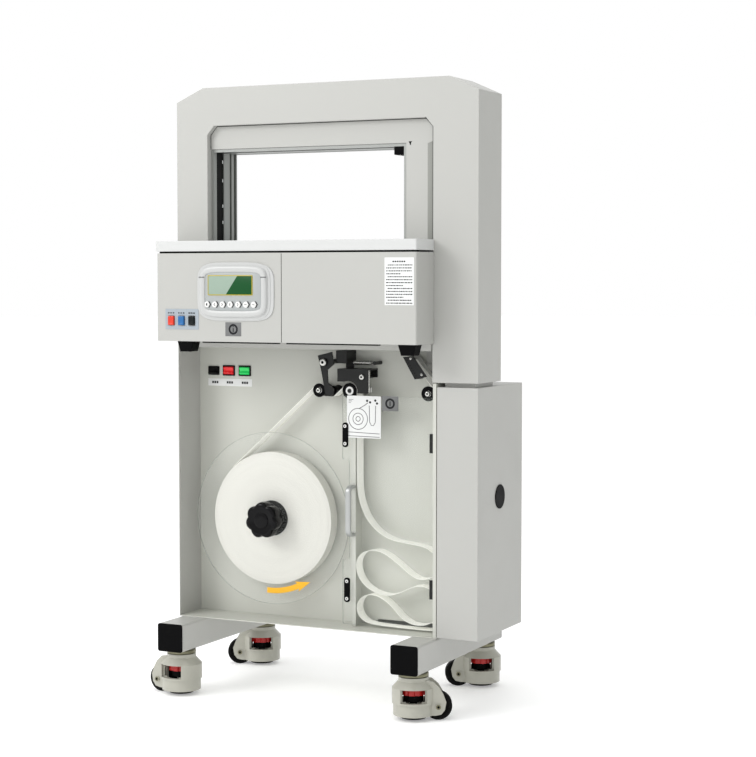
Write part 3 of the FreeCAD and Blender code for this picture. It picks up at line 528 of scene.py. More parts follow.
# Operator panel; each rim is (distance in from the outline, distance out from the face)
operatorPanel = {
    "middle": (-161.5, 865.0), "half": (87.5, 60.5), "face": -215.0,
    "rim": [(0, 0), (0, 2.4), (0.9, 3.2), (6.2, 3.4), (6.9, 5.2), (8.0, 7.4), (10.0, 8.6), (13.0, 9.0), (17.0, 8.7),
            (19.4, 7.6), (20.6, 5.6), (21.0, 3.0)],
    "skirtMiddle": (-156.5, 863.5), "skirtHalf": (90.0, 60.0), "skirtRim": [(0, 0), (0, 1.6), (0.8, 2.3), (3.5, 2.0)],
    "notches": (-235.5, -88.0), "notchHalf": 6.5, "notchDepth": (9.0, 7.5), "notchHeight": (893.2, 896.0),
    "opening": 20.4, "sheetBack": 3.0, "sheetFront": 6.2,
    "screen": (-221.0, -114.0, 857.0, 899.0), "screenCorner": 1.2, "screenGlass": 1.7, "glassFront": 7.2,
    "screenRim": [(0, 6.0), (0, 7.2), (0.6, 7.5), (1.7, 7.5), (2.0, 6.9)],
    "keysAt": 838.0, "firstKey": -223.6, "keyPitch": 18.6, "keyRadius": 6.3,
    "keyRim": [(0, -0.4), (0, 0.5), (0.5, 0.9), (2, 1.1)], "keyTop": 1.1,
    "pointer": [(4.8, 6.4), (9.2, 0), (4.8, -6.4)], "pointerTop": 0.9, "pointerWidth": 2.0,
    "signs": {"bar": [(0, -2.6), (0, 2.6)], "back": [(1.6, 2.8), (-1.4, 0), (1.6, -2.8)],
              "next": [(-1.6, 2.8), (1.4, 0), (-1.6, -2.8)], "dash": [(-2.8, 0), (2.8, 0)]},
    "keys": [("bar", 2.6), ("back", 1.2), ("next", 1.2), ("bar", 1.4), ("next", 1.2), ("dash", 1.0), ("dash", 1.0)],
}


def makeOperatorPanel():
    p = operatorPanel
    face = p["face"]
    outer = barrel(p["middle"], p["half"])
    bench = Bench()
    bench.stack("panelSilver", [(inset(outer, move), face - out) for move, out in p["rim"]])
    skirt = barrel(p["skirtMiddle"], p["skirtHalf"])
    bench.stack("panelSilver", [(inset(skirt, move), face - out) for move, out in p["skirtRim"]])
    near, far = p["notchDepth"]
    low, high = p["notchHeight"]
    for x in p["notches"]:  # the hinge notches of the bezel
        bench.block("stickerGrey", (x - p["notchHalf"], face - near, low), (x + p["notchHalf"], face - far, high),
                    0.4, 0.8)
    bench.done("operator_bezel", "frame", ["operator_panel"])

    bench = Bench()
    bench.slab("membrane", inset(outer, p["opening"]), face - p["sheetBack"], face - p["sheetFront"], 0.5)
    bench.done("operator_membrane", "frame")

    bench = Bench()
    bench.stack("goldFrame", [(shrunk(p["screen"], move, p["screenCorner"], 3), face - out)
                              for move, out in p["screenRim"]])
    glass = shrunk(p["screen"], p["screenGlass"], p["screenCorner"], 3)
    bench.slab("screenGlass", glass, face - p["sheetFront"], face - p["glassFront"], 0.1)
    bench.done("operator_screen", "frame")

    bench = Bench()
    top = face - p["sheetFront"]
    for k, (sign, width) in enumerate(p["keys"]):
        x = p["firstKey"] + p["keyPitch"] * k
        z = p["keysAt"]
        rim = [(p["keyRadius"] - narrow, top - out) for narrow, out in p["keyRim"]]
        bench.lathe("keyWhite", rim, (x, z), steps=32)
        bench.stroke("ink", [(x + a, z + b) for a, b in p["pointer"]], p["pointerWidth"], top - p["pointerTop"])
        bench.stroke("ink", [(x + a, z + b) for a, b in p["signs"][sign]], width, top - p["keyTop"])
    bench.done("operator_keys", "frame")


makeOperatorPanel()

# Push buttons on their plate
buttonPlate = {"area": (-329.0, -247.5, 785.0, 828.0), "face": -215.0, "proud": 0.9, "sunk": 0.05,
               "window": (8.4, 11.0), "labelsAt": 819.5, "firstDash": 8.5, "dashPitch": 5.8, "dash": (3.2, 5.2),
               "dashWidth": 2.4, "seed": 4}
buttonCaps = {"red": "buttonRed", "blue": "buttonBlue", "black": "buttonBlack"}
buttonShape = {"cap": (6.9, 9.4), "corner": 1.6, "stem": 6.0, "flange": (8.9, 11.4), "flangeBack": 4.2,
               "flangeFront": 2.3, "rim": [(0, 1.0), (0.3, 0.35), (1.0, 0), (2.2, 0.1), (3.2, 0.5)]}


def makeButtons():
    p, shape = buttonPlate, buttonShape
    face = p["face"]
    x0, x1, z0, z1 = p["area"]
    top = face - p["proud"]
    draw = random.Random(p["seed"])
    holes = [frontMiddle("button_" + name) for name in buttonCaps]
    edges = [x0] + [(holes[k][0] + holes[k + 1][0]) / 2 for k in range(2)] + [x1]
    bench = Bench()
    for k, hole in enumerate(holes):  # three windows side by side make the plate
        outer = roundRect(edges[k], edges[k + 1], z0, z1, 0.8, 3)
        window = roundRect(*around(hole, p["window"]), 0.8, 3)
        bench.stack("plateBlue", [(outer, face + p["sunk"]), (outer, top + 0.2), (inset(outer, 0.25), top),
                                  (window, top), (inset(window, 0.2), face + p["sunk"])])
        for dash in range(3):
            left = hole[0] - p["firstDash"] + dash * p["dashPitch"]
            bench.stroke("ink", [(left, p["labelsAt"]), (left + draw.uniform(*p["dash"]), p["labelsAt"])],
                         p["dashWidth"], top)
    bench.done("button_plate", "frame")
    for hole, (name, cap) in zip(holes, buttonCaps.items()):
        low, high = nodeBox("button_" + name)
        rim = [(0, face + shape["stem"])] + [(move, low[1] + back) for move, back in shape["rim"]]
        bench = Bench()
        area = around(hole, shape["cap"])
        bench.stack(cap, [(shrunk(area, move, shape["corner"], 4), along) for move, along in rim])
        flange = roundRect(*around(hole, shape["flange"]), 1.0, 3)
        bench.slab(cap, flange, high[1] - shape["flangeBack"], face + shape["flangeFront"], 0.2)
        bench.done("cap_" + name, "push_" + name, ["button_" + name])


makeButtons()

# Rocker switches in their bezels
rockers = {"black": ("blackGloss", (-328.0, -300.5, 680.5, 699.5)),
           "red": ("rockerRed", (-291.0, -261.0, 679.2, 702.2)),
           "green": ("rockerGreen", (-251.0, -221.0, 679.2, 702.2))}
rockerBezel = {"play": (0.5, 0.6), "rim": [(0, -0.05), (0, 2.2), (0.4, 2.8), (1.0, 3.0)],
               "well": [(-0.3, 3.0), (0, 2.6), (0, -1.5)]}
panelFace = nodeBox("reel_panel")[0][1]


def makeRockers():
    sideways, upright = rockerBezel["play"]
    for name, (look, area) in rockers.items():
        low, high = nodeBox("rocker_" + name)
        outer = roundRect(*area, 1.4, 4)
        hole = roundRect(low[0] - sideways, high[0] + sideways, low[2] - upright, high[2] + upright, 0.6, 4)
        bench = Bench()
        bench.stack("blackGloss", [(inset(outer, move), panelFace - out) for move, out in rockerBezel["rim"]]
                    + [(inset(hole, move), panelFace - out) for move, out in rockerBezel["well"]])
        bench.done("rocker_bezel_" + name, "frame")
        eased("rocker_" + name, look, 0.5, 3)


makeRockers()
print("controls made")


# Printed labels: sheets with rows of dashes, no words
boxFace = nodeBox("control_box")[0][1]
notice = {"area": (185.0, 249.5, 839.0, 934.0), "seed": 7, "titleShare": 0.46, "titleDashes": 6, "titleDash": 8.5,
          "titleAt": 8, "titleWidth": 3.0, "rows": 14, "firstRow": 15, "below": 4, "margin": 3.5, "indent": 7,
          "shortRow": (0.5, 0.75), "dash": (1.4, 5.2), "gap": (0.8, 1.4), "dashWidth": 2.0}
switchLabel = {"area": (-329.0, -218.5, 656.5, 672.5), "groups": (-318.0, -281.0, -243.0), "marksAt": 664.5,
               "mark": (-1.0, 3.4), "pitch": 5.6, "width": 5.0}
badges = {"box": (-183.0, -145.0, 772.0, 801.0), "door": (118.0, 156.0, 617.0, 648.0), "ring": 9.0, "ringWidth": 4.2,
          "markWidth": 2.4}
sheetRise = 0.25


def makeNotice():
    p = notice
    x0, x1, z0, z1 = p["area"]
    draw = random.Random(p["seed"])
    bench = Bench()
    bench.slab("paper", roundRect(*p["area"], 0.8, 3), boxFace, boxFace - sheetRise, 0.1)
    top = boxFace - sheetRise
    width = (x1 - x0) * p["titleShare"]
    for k in range(p["titleDashes"]):
        left = (x0 + x1) / 2 - width / 2 + width * k / p["titleDashes"]
        bench.stroke("ink", [(left, z1 - p["titleAt"]), (left + width / p["titleDash"], z1 - p["titleAt"])],
                     p["titleWidth"], top)
    first = z1 - p["firstRow"]
    step = (first - z0 - p["below"]) / (p["rows"] - 1)
    for row in range(p["rows"]):  # every fourth row starts late, and the one before it ends early
        z = first - step * row
        x = x0 + (p["indent"] if row % 4 == 0 else p["margin"])
        stop = x1 - p["margin"] if row % 4 != 3 else x0 + (x1 - x0) * draw.uniform(*p["shortRow"])
        while x < stop - 1.5:
            run = min(draw.uniform(*p["dash"]), stop - x)
            bench.stroke("ink", [(x, z), (x + run, z)], p["dashWidth"], top)
            x += run + draw.uniform(*p["gap"])
    bench.done("notice_label", "frame")


def makeSwitchLabel():
    p = switchLabel
    start, stop = p["mark"]
    bench = Bench()
    bench.slab("paper", roundRect(*p["area"], 0.8, 3), panelFace, panelFace - sheetRise, 0.1)
    for x in p["groups"]:  # three short marks, one group under each switch
        for left in (p["pitch"] * k for k in range(3)):
            bench.stroke("ink", [(x + start + left, p["marksAt"]), (x + stop + left, p["marksAt"])], p["width"],
                         panelFace - sheetRise)
    bench.done("switch_label", "frame")


def makeBadge(name, body, area, back, face, marks):  # a grey plate with a plain ring
    bench = Bench()
    bench.slab("stickerGrey", roundRect(*area, 0.6, 3), back, face, 0.1)
    x, z = (area[0] + area[1]) / 2, (area[2] + area[3]) / 2
    bench.stroke("ink", circle((x, z), badges["ring"]), badges["ringWidth"], face)
    for low, high in marks:
        bench.stroke("ink", [(x, z + low), (x, z + high)], badges["markWidth"], face)
    bench.done(name, body)


makeNotice()
makeSwitchLabel()

# Lines between the panels: the lining's seal and the box seam, with painted shade on the lining's fold and notch and
# in the gaps under the table and the box
seams = {"lining": {"left": -276.0, "right": 251.0, "top": 1217.0, "run": 16.0, "drop": 19.0, "low": 971.2,
                    "rail": 1168.0, "width": 1.6, "outerGap": 0.9, "outerTop": 0.8, "outerWidth": 1.2},
         "fold": (234.0, 245.0, 971.4, 1170.0), "foldCut": 4.0, "box": (-50.6, -49.4, 761.0, 943.5),
         "notch": [(191.5, 1171.0), (194.5, 1164.0), (196.5, 1163.0), (196.9, 1168.0), (199.5, 1171.0)],
         "rise": 0.12, "notchRise": 0.14,
         "gasket": {"ends": 5.0, "set": 2.5, "deep": 22.0, "over": 0.1, "under": 0.2},
         "lip": {"runs": ((-240.0, -60.0), (-40.0, 170.0)), "set": 2.0, "deep": 14.0, "height": (757.2, 759.9)}}


def flatPiece(name, look, outline, face, rise):
    bench = Bench()
    bench.slab(look, outline, face, face - rise, 0.03)
    bench.done(name, "frame")


def makeSeams():
    s = seams["lining"]
    arch = nodeBox("arch_shell")[0][1]
    lining = nodeBox("arch_lining")[0][1]
    bench = Bench()
    half = s["width"] / 2
    path = [(s["left"] + half, s["rail"]), (s["left"] + half, s["top"] - s["drop"]),
            (s["left"] + s["run"], s["top"] - half), (s["right"] - s["run"], s["top"] - half),
            (s["right"] - half, s["top"] - s["drop"]), (s["right"] - half, s["low"])]
    bench.stroke("seam", path, s["width"], lining)
    edge = s["right"] + s["outerGap"]
    path = [(s["right"] - s["run"], s["top"] + s["outerTop"]), (edge, s["top"] - s["drop"]), (edge, s["low"])]
    bench.stroke("seam", path, s["outerWidth"], arch)
    bench.done("lining_seal", "frame")
    # flat sheets on the lining: a grey band of painted shade on its fold and a black patch of painted shade in its
    # notch
    x0, x1, z0, z1 = seams["fold"]
    flatPiece("lining_fold_shade", "foldShade", [(x0, z0), (x1, z0), (x1, z1), (x0, z1 - seams["foldCut"])], lining,
              seams["rise"])
    flatPiece("lining_notch_shade", "slotBlack", seams["notch"], lining, seams["notchRise"])
    flatPiece("box_seam", "seam", roundRect(*seams["box"], 0.3, 2), boxFace, seams["rise"])
    low, high = nodeBox("control_box")
    under = nodeBox("table_top")[0][2]
    gasket, lip = seams["gasket"], seams["lip"]
    # a black block filling the gap between the box and the table: painted shade
    bench = Bench()
    bench.block("slotBlack", (low[0] + gasket["ends"], low[1] + gasket["set"], high[2] + gasket["over"]),
                (high[0] - gasket["ends"], low[1] + gasket["deep"], under - gasket["under"]), 0.4, 0.6)
    bench.done("table_gap_shade", "frame")
    # black strips under the front edge of the box: painted shade
    bench = Bench()
    for x0, x1 in lip["runs"]:
        bench.block("slotBlack", (x0, low[1] + lip["set"], lip["height"][0]),
                    (x1, low[1] + lip["deep"], lip["height"][1]), 0.4, 0.8)
    bench.done("box_under_shade", "frame")


makeSeams()
makeBadge("notice_badge", "frame", badges["box"], boxFace, boxFace - sheetRise, [(-5.5, 2.5), (4.5, 6.5)])


# Reel: clear disc, roll of tape, knob and the arrow on the disc

reel = {"axis": (-147.0, 377.3), "core": 38.0, "coreRim": 44.0, "spindleHole": 11.0, "rim": 0.5, "rimBand": 0.55,
        "knobRadius": 39.0, "knobFace": -133.0, "collarFace": -101.0, "lobes": 7, "lobeTurn": 0.8, "lobePower": 0.45,
        "arrow": {"start": -94.0, "neck": -65.5, "tip": -54.5, "reach": 156.3, "width": 12.0, "head": 23.0,
                  "headBack": 1.5, "tipOut": 6, "under": 0.02, "front": 0.3}}


def roundReel(degrees, reach):
    angle = math.radians(degrees)
    return reel["axis"][0] + reach * math.cos(angle), reel["axis"][1] + reach * math.sin(angle)


def makeReel():
    axis, core, rim = reel["axis"], reel["core"], reel["rim"]
    low, high = nodeBox("tape_roll")
    radius = (high[0] - low[0]) / 2
    bench = Bench()
    bench.lathe("rollEdge", [(core + 0.3, high[1]), (core, high[1] - 0.4), (core, low[1] + 0.4), (core + 0.4, low[1]),
                             (reel["coreRim"], low[1]), (radius - 1.0, low[1]), (radius, low[1] + 0.6),
                             (radius, high[1] - 0.6), (radius - 1.0, high[1])], axis, steps=160, closed=True)
    bench.done("tape_roll_wound", "reel", ["tape_roll"])

    low, high = nodeBox("reel_disc")
    radius = (high[0] - low[0]) / 2
    bench = Bench()
    bench.lathe("clearSheet", [(reel["spindleHole"], high[1]), (reel["spindleHole"], low[1]), (radius - rim, low[1]),
                               (radius, low[1] + rim), (radius, high[1] - rim), (radius - rim, high[1])],
                axis, steps=180, closed=True)
    bench.used.append("clearEdge")
    centre = place(axis[0], 0, axis[1])
    for face in bench.mesh.faces:
        if (face.calc_center_median() - centre).xz.length > (radius - reel["rimBand"]) / 1000:
            face.material_index = 1
    bench.done("clear_disc", "reel", ["reel_disc"])

    arrow = reel["arrow"]
    bench = Bench()
    turns = [arrow["start"] + (arrow["neck"] - arrow["start"]) * k / 12 for k in range(13)]
    line, half, wing = arrow["reach"], arrow["width"] / 2, arrow["head"] / 2
    outer, inner = [[roundReel(turn, line + side * half) for turn in turns] for side in (1, -1)]
    wings = [roundReel(arrow["neck"] - arrow["headBack"], line + side * wing) for side in (1, -1)]
    tip = roundReel(arrow["tip"], line + arrow["tipOut"])
    bench.slab("stickerYellow", outer + [wings[0], tip, wings[1]] + inner[::-1], low[1] - arrow["under"],
               low[1] - arrow["front"], 0.05)
    bench.done("turn_arrow", "reel")


def knobRing(radius, bite):
    axis = reel["axis"]
    ring = []
    for k in range(168):
        turn = 2 * math.pi * k / 168
        wave = 0.5 + 0.5 * math.cos(reel["lobes"] * (turn - 2 * math.pi * reel["lobeTurn"] / reel["lobes"]))
        reach = radius - bite * (1 - wave ** reel["lobePower"])
        ring.append((axis[0] + reach * math.cos(turn), axis[1] + reach * math.sin(turn)))
    return ring


def makeKnob():
    r, face, collar = reel["knobRadius"], reel["knobFace"], reel["collarFace"]
    high = nodeBox("reel_knob")[1]
    bench = Bench()  # below: radius, depth of the lobes, place along the axis
    profile = [(23, 0, high[1]), (24, 0, high[1] - 1), (24, 0, collar - 1), (27, 1, collar - 2),
               (r - 3, 4, collar - 3), (r - 0.8, 5.2, collar - 5), (r, 6, collar - 9), (r, 6, face + 8),
               (r - 0.8, 5.6, face + 4),
               (r - 3, 4.6, face + 1.4), (r - 6.5, 3, face + 0.2), (r - 9, 2, face), (r - 11, 1, face + 0.2),
               (20, 0.3, face + 2.2), (17, 0, face + 2.6), (16.6, 0, face + 1.6), (15.4, 0, face + 1.2),
               (8, 0, face + 1.0)]
    bench.stack("blackGloss", [(knobRing(radius, bite), along) for radius, bite, along in profile])
    bench.done("star_knob", "knob", ["reel_knob"])


makeReel()
makeKnob()
print("reel made")


# Guide track: black and grey liners in its slots, and the sensor block at the top right
trackLiners = {"front": (-101.0, -70.0, 3.4, "slotBlack"), "middle": (-46.0, -38.0, 3.0, "slotGrey"),
               "rear": (-28.0, -18.0, 3.0, "slotGrey")}
trackSensor = {"left": 29.0, "right": 6.2, "low": 23.0, "high": 2.2, "front": -111.0, "back": -72.0,
               "screws": (-104.0, -78.0), "screwIn": 17.0}
trackClips = {"heights": (1010.0, 1045.0, 1100.0, 1140.0), "tall": 7.0, "from": 3.4, "to": 4.8, "front": -74.0,
              "back": -71.0}
linerGap, linerFoot = 2.05, 0.4


def makeTrack():
    low, high = nodeBox("guide_track")
    left, right, top, bottom = low[0] + linerGap, high[0] - linerGap, high[2] - linerGap, low[2] + linerFoot
    for name, (y0, y1, thick, look) in trackLiners.items():
        bench = Bench()
        inLeft, inRight, inTop = left + thick - linerGap, right - thick + linerGap, top - thick + linerGap
        outline = [(left, bottom), (inLeft, bottom), (inLeft, inTop), (inRight, inTop), (inRight, bottom),
                   (right, bottom), (right, top), (left, top)]
        bench.stack(look, [(outline, y1 - 0.1), (outline, y0 + 0.1)])
        bench.done("track_liner_" + name, "frame")
    bench = Bench()
    s = trackSensor
    bench.block("blackPlug", (high[0] - s["left"], s["front"], high[2] - s["low"]),
                (high[0] - s["right"], s["back"], high[2] - s["high"]), 0.8, 1.5)
    for y in s["screws"]:
        bench.screw((high[0] - s["screwIn"], y), high[2] - s["low"], 2.6, axis="z", out=-1, rise=1.2)
    bench.done("track_sensor", "frame")
    bench = Bench()
    s = trackClips
    for z in s["heights"]:  # flap clips along the left rail
        bench.block("paper", (low[0] + s["from"], s["front"], z), (low[0] + s["to"], s["back"], z + s["tall"]),
                    0.3, 0.6)
    bench.done("track_clips", "frame")


makeTrack()


# Tape feed: screws, spring, bearing faces and the knurled nut
feedScrews = [((-14.0, 716.0), -98.9, 7.6, 3.4), ((73.2, 686.5), -92.4, 5.6, 2.4)]  # place, face, radius, rise
pinScrew = (-88.4, 5.0, 1.6)
spring = {"turns": 22, "coil": 4.0, "wire": 0.85, "ends": 6.0, "hook": 0.4, "perTurn": 14}
bearings = {"feed": (9.0, "keyWhite"), "guide": (6.6, "brightSteel"), "exit": (6.6, "brightSteel")}
knurl = {"at": (77.0, -66.0), "height": 661.0, "ridge": 6.4, "valley": 5.9, "edge": 0.8, "stem": 3.0,
         "stemTop": 700.0}
chute = {"slots": 7, "start": (172, 728), "run": (27, -42), "face": -86.0, "rise": 0.15,
         "slot": [(-1.0, -1.2), (1.4, -2.8), (2.2, -1.4), (-0.2, 0.2)], "screws": ((208.0, 694.0), (183.0, 727.0))}


def makeFeedUnit():
    bench = Bench()
    for spot, face, radius, rise in feedScrews:
        bench.screw(spot, face, radius, rise=rise)
    for node in ("guide_roller", "exit_roller"):
        bench.screw(frontMiddle(node), pinScrew[0], pinScrew[1], rise=pinScrew[2])
    bench.done("feed_screws", "frame")

    s = spring
    low, high = nodeBox("tension_spring")
    y, z, coil = (low[1] + high[1]) / 2, (low[2] + high[2]) / 2, s["coil"]
    start, stop, steps = low[0] + s["ends"], high[0] - s["ends"], s["turns"] * s["perTurn"]
    path = [(low[0] + s["hook"], y, z), (start - 3, y, z), (start - 1, y, z + coil * 0.5)]
    for k in range(steps + 1):
        turn = 2 * math.pi * k / s["perTurn"] + math.pi / 2
        path.append((start + (stop - start) * k / steps, y + coil * math.cos(turn), z + coil * math.sin(turn)))
    path += [(stop + 1, y, z + coil * 0.5), (stop + 3, y, z), (high[0] - s["hook"], y, z)]
    bench = Bench()
    bench.tube("brightSteel", path, s["wire"], 8)
    bench.done("spring_coil", "frame", ["tension_spring"])

    for body, (outer, look) in bearings.items():
        front = nodeBox(body + "_roller")[0][1]
        ring = [(outer, front + 0.6), (outer, front - 0.2), (outer - 0.8, front - 0.7), (5.6, front - 0.7),
                (4.6, front - 0.3), (4.4, front + 0.6)]
        bench = Bench()
        bench.lathe(look, ring, frontMiddle(body + "_roller"), steps=40, closed=True)
        bench.done("bearing_" + body, body)

    bench = Bench()
    x, y = knurl["at"]
    z = knurl["height"]
    ridges = []
    for k in range(96):
        reach = knurl["ridge"] if k % 4 < 2 else knurl["valley"]
        ridges.append((x + reach * math.cos(2 * math.pi * k / 96), y + reach * math.sin(2 * math.pi * k / 96)))
    rim = inset(ridges, knurl["edge"])
    bench.stack("brightSteel", [(rim, z - 8), (ridges, z - 7.2), (ridges, z + 3), (rim, z + 4)], "z")
    bench.lathe("brightSteel", [(knurl["stem"], z + 4), (knurl["stem"], knurl["stemTop"])], (x, y), "z", 20)
    bench.done("brake_nut", "frame")

    bench = Bench()
    for k in range(chute["slots"]):  # slots punched in the chute's front plate, drawn as flat black patches of painted shade
        share = (k + 0.7) / 8
        x, z = [begin + way * share for begin, way in zip(chute["start"], chute["run"])]
        outline = [(x + a, z + b) for a, b in chute["slot"]]
        bench.slab("slotBlack", outline, chute["face"], chute["face"] - chute["rise"], 0.03)
    for spot in chute["screws"]:
        bench.screw(spot, chute["face"], 2.6, rise=1.4)
    bench.done("chute_slots", "frame")


makeFeedUnit()
print("track and feed made")


# Magazine door: clear sheet with strikes, handle and card
strikes = {"areas": ((27.0, 40.0, 538.0, 590.0), (30.5, 44.0, 210.0, 262.0)), "thick": 3.0, "screwsIn": 7.5}
grip = {"x": 50.5, "low": 354.5, "high": 455.5, "out": 22.0, "bend": 12.0, "half": (6.5, 4.0), "power": (0.6, 0.8)}
card = {"area": (37.0, 116.0, 558.5, 647.0), "behind": 0.05, "front": 0.5, "hub": (26, 40), "rings": (5, 12, 22),
        "lines": [(1.2, [(29, 62), (44, 70.5), (49, 74.5)]),  # width, then places from the lower left corner
                  (1.2, [(52, 68.5), (53, 34), (57, 27), (62, 27), (66, 34), (67, 68.5)]),
                  (1.1, [(3, 12), (76, 10)]), (1.1, [(3, 4), (76, 3)])],
        "dots": [(47, 78.5), (54, 75.5), (66, 79.5), (70, 73.5)], "dot": (2.6, 2.5)}


def makeDoor():
    face = nodeBox("magazine_door")[0][1]
    pane = eased("magazine_door", "doorSheet", 0.4, 2)
    pane.data.materials.append(finishes["clearEdge"])
    for side in pane.data.polygons:
        if abs(side.normal.y) < 0.9:
            side.material_index = 1

    bench = Bench()
    for area in strikes["areas"]:
        bench.slab("blackPlug", roundRect(*area, 5.6, 5), face, face - strikes["thick"], 0.7)
        for z in (area[2] + strikes["screwsIn"], area[3] - strikes["screwsIn"]):
            bench.screw(((area[0] + area[1]) / 2, z), face - strikes["thick"], 3.6, "keyWhite", rise=1.5)
    bench.done("door_strikes", "door")

    x, low, high, bend = grip["x"], grip["low"], grip["high"], grip["bend"]
    bendY = face - grip["out"] + bend
    path = [(x, face, low), (x, bendY, low)]
    for start, z in ((270, low + bend), (180, high - bend)):
        for k in range(7):
            turn = math.radians(start - 15 * k)
            path.append((x, bendY + bend * math.cos(turn), z + bend * math.sin(turn)))
    path += [(x, bendY, high), (x, face, high)]
    rings = []
    across = Vector((1, 0, 0))
    (wide, deep), (flat, bowed) = grip["half"], grip["power"]
    for k, spot in enumerate(path):
        thick = (Vector(path[min(k + 1, len(path) - 1)]) - Vector(path[max(k - 1, 0)])).normalized().cross(across)
        section = []
        for j in range(24):
            c, s = math.cos(2 * math.pi * j / 24), math.sin(2 * math.pi * j / 24)
            section.append(tuple(Vector(spot) + across * wide * math.copysign(abs(c) ** flat, c)
                                 + thick * deep * math.copysign(abs(s) ** bowed, s)))
        rings.append(section)
    bench = Bench()
    bench.loft("handleSilver", rings)
    bench.done("grip_handle", "door", ["door_handle"])

    bench = Bench()
    top = face - card["front"]
    left, _, bottom, above = card["area"]
    bench.slab("paper", roundRect(*card["area"], 2.0, 4), face - card["behind"], top, 0.1)
    for radius in card["rings"]:
        bench.stroke("ink", circle((left + card["hub"][0], bottom + card["hub"][1]), radius), 1.2, top)
    for width, line in card["lines"]:
        bench.stroke("ink", [(left + a, bottom + b) for a, b in line], width, top)
    for a, b in card["dots"]:
        bench.lathe("ink", [(card["dot"][0], top), (card["dot"][1], top - inkRise)], (left + a, bottom + b), steps=12)
    for k in range(3):
        bench.stroke("ink", [(left + 4, above - 8 - 3 * k), (left + 15 - 3 * k, above - 8.4 - 3 * k)], 0.8, top)
    bench.done("threading_card", "door")

    makeBadge("door_badge", "door", badges["door"], face - 0.05, face - 0.35, [(-5, 5)])


makeDoor()
print("door made")


# Rear: screws of the covers
rear = {"across": (-338.0, -110.0, 20.0, 246.0), "edge": 12, "sides": (200, 400, 600), "screw": 4.0, "rise": 2.0,
        "settle": 0.98}
archCover = {"heights": (1000.0, 1120.0, 1240.0), "edge": 16, "topRow": (110, 121, 18), "screw": 3.6, "rise": 1.8}


def makeRear():
    (_, _, bottom), (_, back, top) = nodeBox("rear_cover")
    spots = [(x, z) for x in rear["across"] for z in (bottom + rear["edge"], top - rear["edge"])]
    spots += [(x, bottom + z) for z in rear["sides"] for x in (rear["across"][0], rear["across"][-1])]
    bench = Bench()
    for spot in spots:
        bench.screw(spot, back, rear["screw"], rise=rear["rise"], out=rear["settle"])
    bench.done("rear_screws", "frame")
    (left, _, bottom), (right, back, top) = nodeBox("arch_back_cover")
    start, pitch, down = archCover["topRow"]
    spots = [(x, z) for x in (left + archCover["edge"], right - archCover["edge"]) for z in archCover["heights"]]
    spots += [(left + start + pitch * k, top - down) for k in range(5)]
    bench = Bench()
    for spot in spots:
        bench.screw(spot, back, archCover["screw"], rise=archCover["rise"], out=1)
    bench.done("arch_screws", "frame")


makeRear()


# Caster fittings: the caps over each axle's ends
casterHeadings = {"fl": 172.0, "fr": 25.8, "rl": 205.8, "rr": 205.8}
axle = {"reach": 50.0, "height": 28.5, "side": 23.5, "cap": [(5.2, -1.0), (5.2, 0.2), (4.6, 0.5)],
        "socket": [(3.0, 0), (2.9, 0.55)]}


def makeCasters():
    for corner in corners:
        low, high = nodeBox("caster_pad_" + corner)
        turned = Matrix.Translation(((low[0] + high[0]) / 2, (low[1] + high[1]) / 2, 0)) @ Matrix.Rotation(
            math.radians(casterHeadings[corner]), 4, "Z")
        bench = Bench(turned)
        for side in (-1, 1):
            face = side * axle["side"]
            for look, part, steps in (("zinc", "cap", 24), ("blackPlug", "socket", 6)):
                bench.lathe(look, [(radius, face + side * out) for radius, out in axle[part]],
                            (axle["reach"], axle["height"]), steps=steps)
        bench.done("axle_caps_" + corner, "caster_" + corner)


makeCasters()
print("rear and casters made")


# Floor, light and camera
studio = {"floorReach": 40.0, "floor": {"colour": (240, 240, 240), "rough": 0.8, "change": 0.004, "clouds": 0.6,
                                        "grain": 300, "bump": 0.03, "glow": 0.34},
          "sky": 1.0, "skyTurns": (0.5, 0.8), "skySide": (0.5, 0.51, 0.5, 1), "aim": (0, 0, 0.7)}
lamps = {"keyLight": ((-2.4, -3.2, 3.0), 1.8, 74.0), "fillLight": ((2.6, -3.4, 1.4), 2.4, 11.0),
         "topLight": ((0.2, -0.3, 3.4), 2.6, 20.0)}  # place, size, power
cameraPlace = {"at": (1.8285, -3.605, 0.893), "turn": 25.77, "down": 3.06, "lens": 89.36, "sensor": 36}


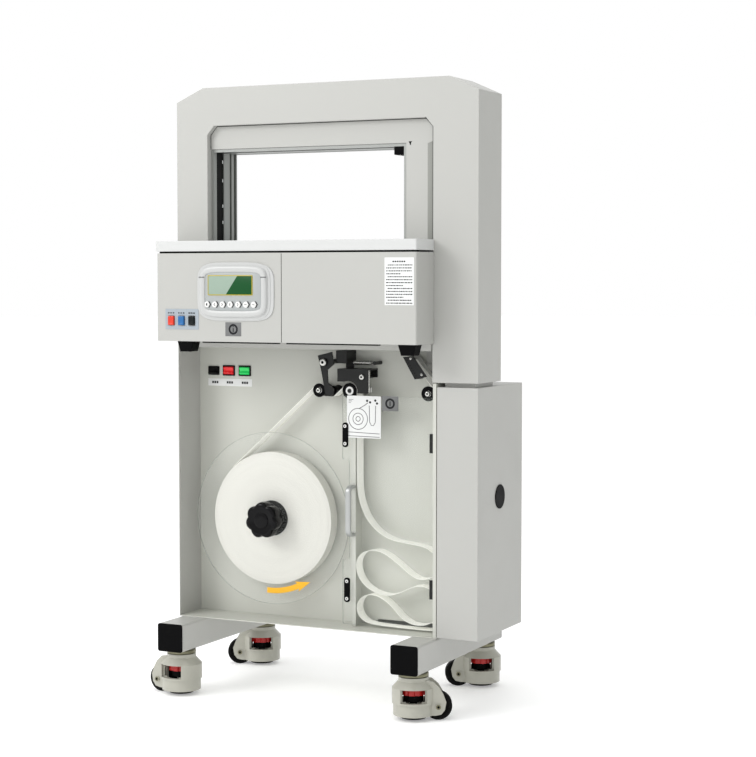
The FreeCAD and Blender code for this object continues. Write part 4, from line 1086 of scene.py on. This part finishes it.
def makeStudio():
    reach = studio["floorReach"]
    data = bpy.data.meshes.new("floor")
    ring = [(reach * math.cos(math.pi * k / 32), reach * math.sin(math.pi * k / 32), 0) for k in range(64)]
    data.from_pydata(ring, [], [list(range(64))])
    data.materials.append(finish("floorPaper", studio["floor"]))
    floor = bpy.data.objects.new("floor", data)
    scene.collection.objects.link(floor)

    world = bpy.data.worlds.new("studioSky")
    scene.world = world
    world.use_nodes = True
    nodes, links = world.node_tree.nodes, world.node_tree.links
    sky = nodes["Background"]
    where = nodes.new("ShaderNodeTexCoord")
    split = nodes.new("ShaderNodeSeparateXYZ")
    ramp = nodes.new("ShaderNodeValToRGB")  # white overhead and to the left, dimmer on the right
    for k, colour in enumerate(((1, 1, 1, 1), studio["skySide"])):
        ramp.color_ramp.elements[k].position = studio["skyTurns"][k]
        ramp.color_ramp.elements[k].color = colour
    shift = nodes.new("ShaderNodeMath")
    shift.operation = "MULTIPLY_ADD"
    shift.inputs[1].default_value = 0.5
    shift.inputs[2].default_value = 0.5
    links.new(where.outputs["Generated"], split.inputs[0])
    links.new(split.outputs["X"], shift.inputs[0])
    links.new(shift.outputs[0], ramp.inputs[0])
    links.new(ramp.outputs[0], sky.inputs[0])
    sky.inputs["Strength"].default_value = studio["sky"]

    for name, (spot, size, power) in lamps.items():
        lamp = bpy.data.lights.new(name, "AREA")
        lamp.size = size
        lamp.energy = power
        holder = bpy.data.objects.new(name, lamp)
        holder.location = spot
        holder.rotation_euler = (Vector(studio["aim"]) - Vector(spot)).to_track_quat("-Z", "Y").to_euler()
        scene.collection.objects.link(holder)

    lens = bpy.data.cameras.new("camera")
    lens.lens = cameraPlace["lens"]
    lens.sensor_width = cameraPlace["sensor"]
    camera = bpy.data.objects.new("camera", lens)
    camera.location = cameraPlace["at"]
    camera.rotation_euler = (math.radians(90 - cameraPlace["down"]), 0, math.radians(cameraPlace["turn"]))
    scene.collection.objects.link(camera)
    scene.camera = camera
    scene.view_settings.view_transform = "Standard"


makeStudio()
print("studio made")
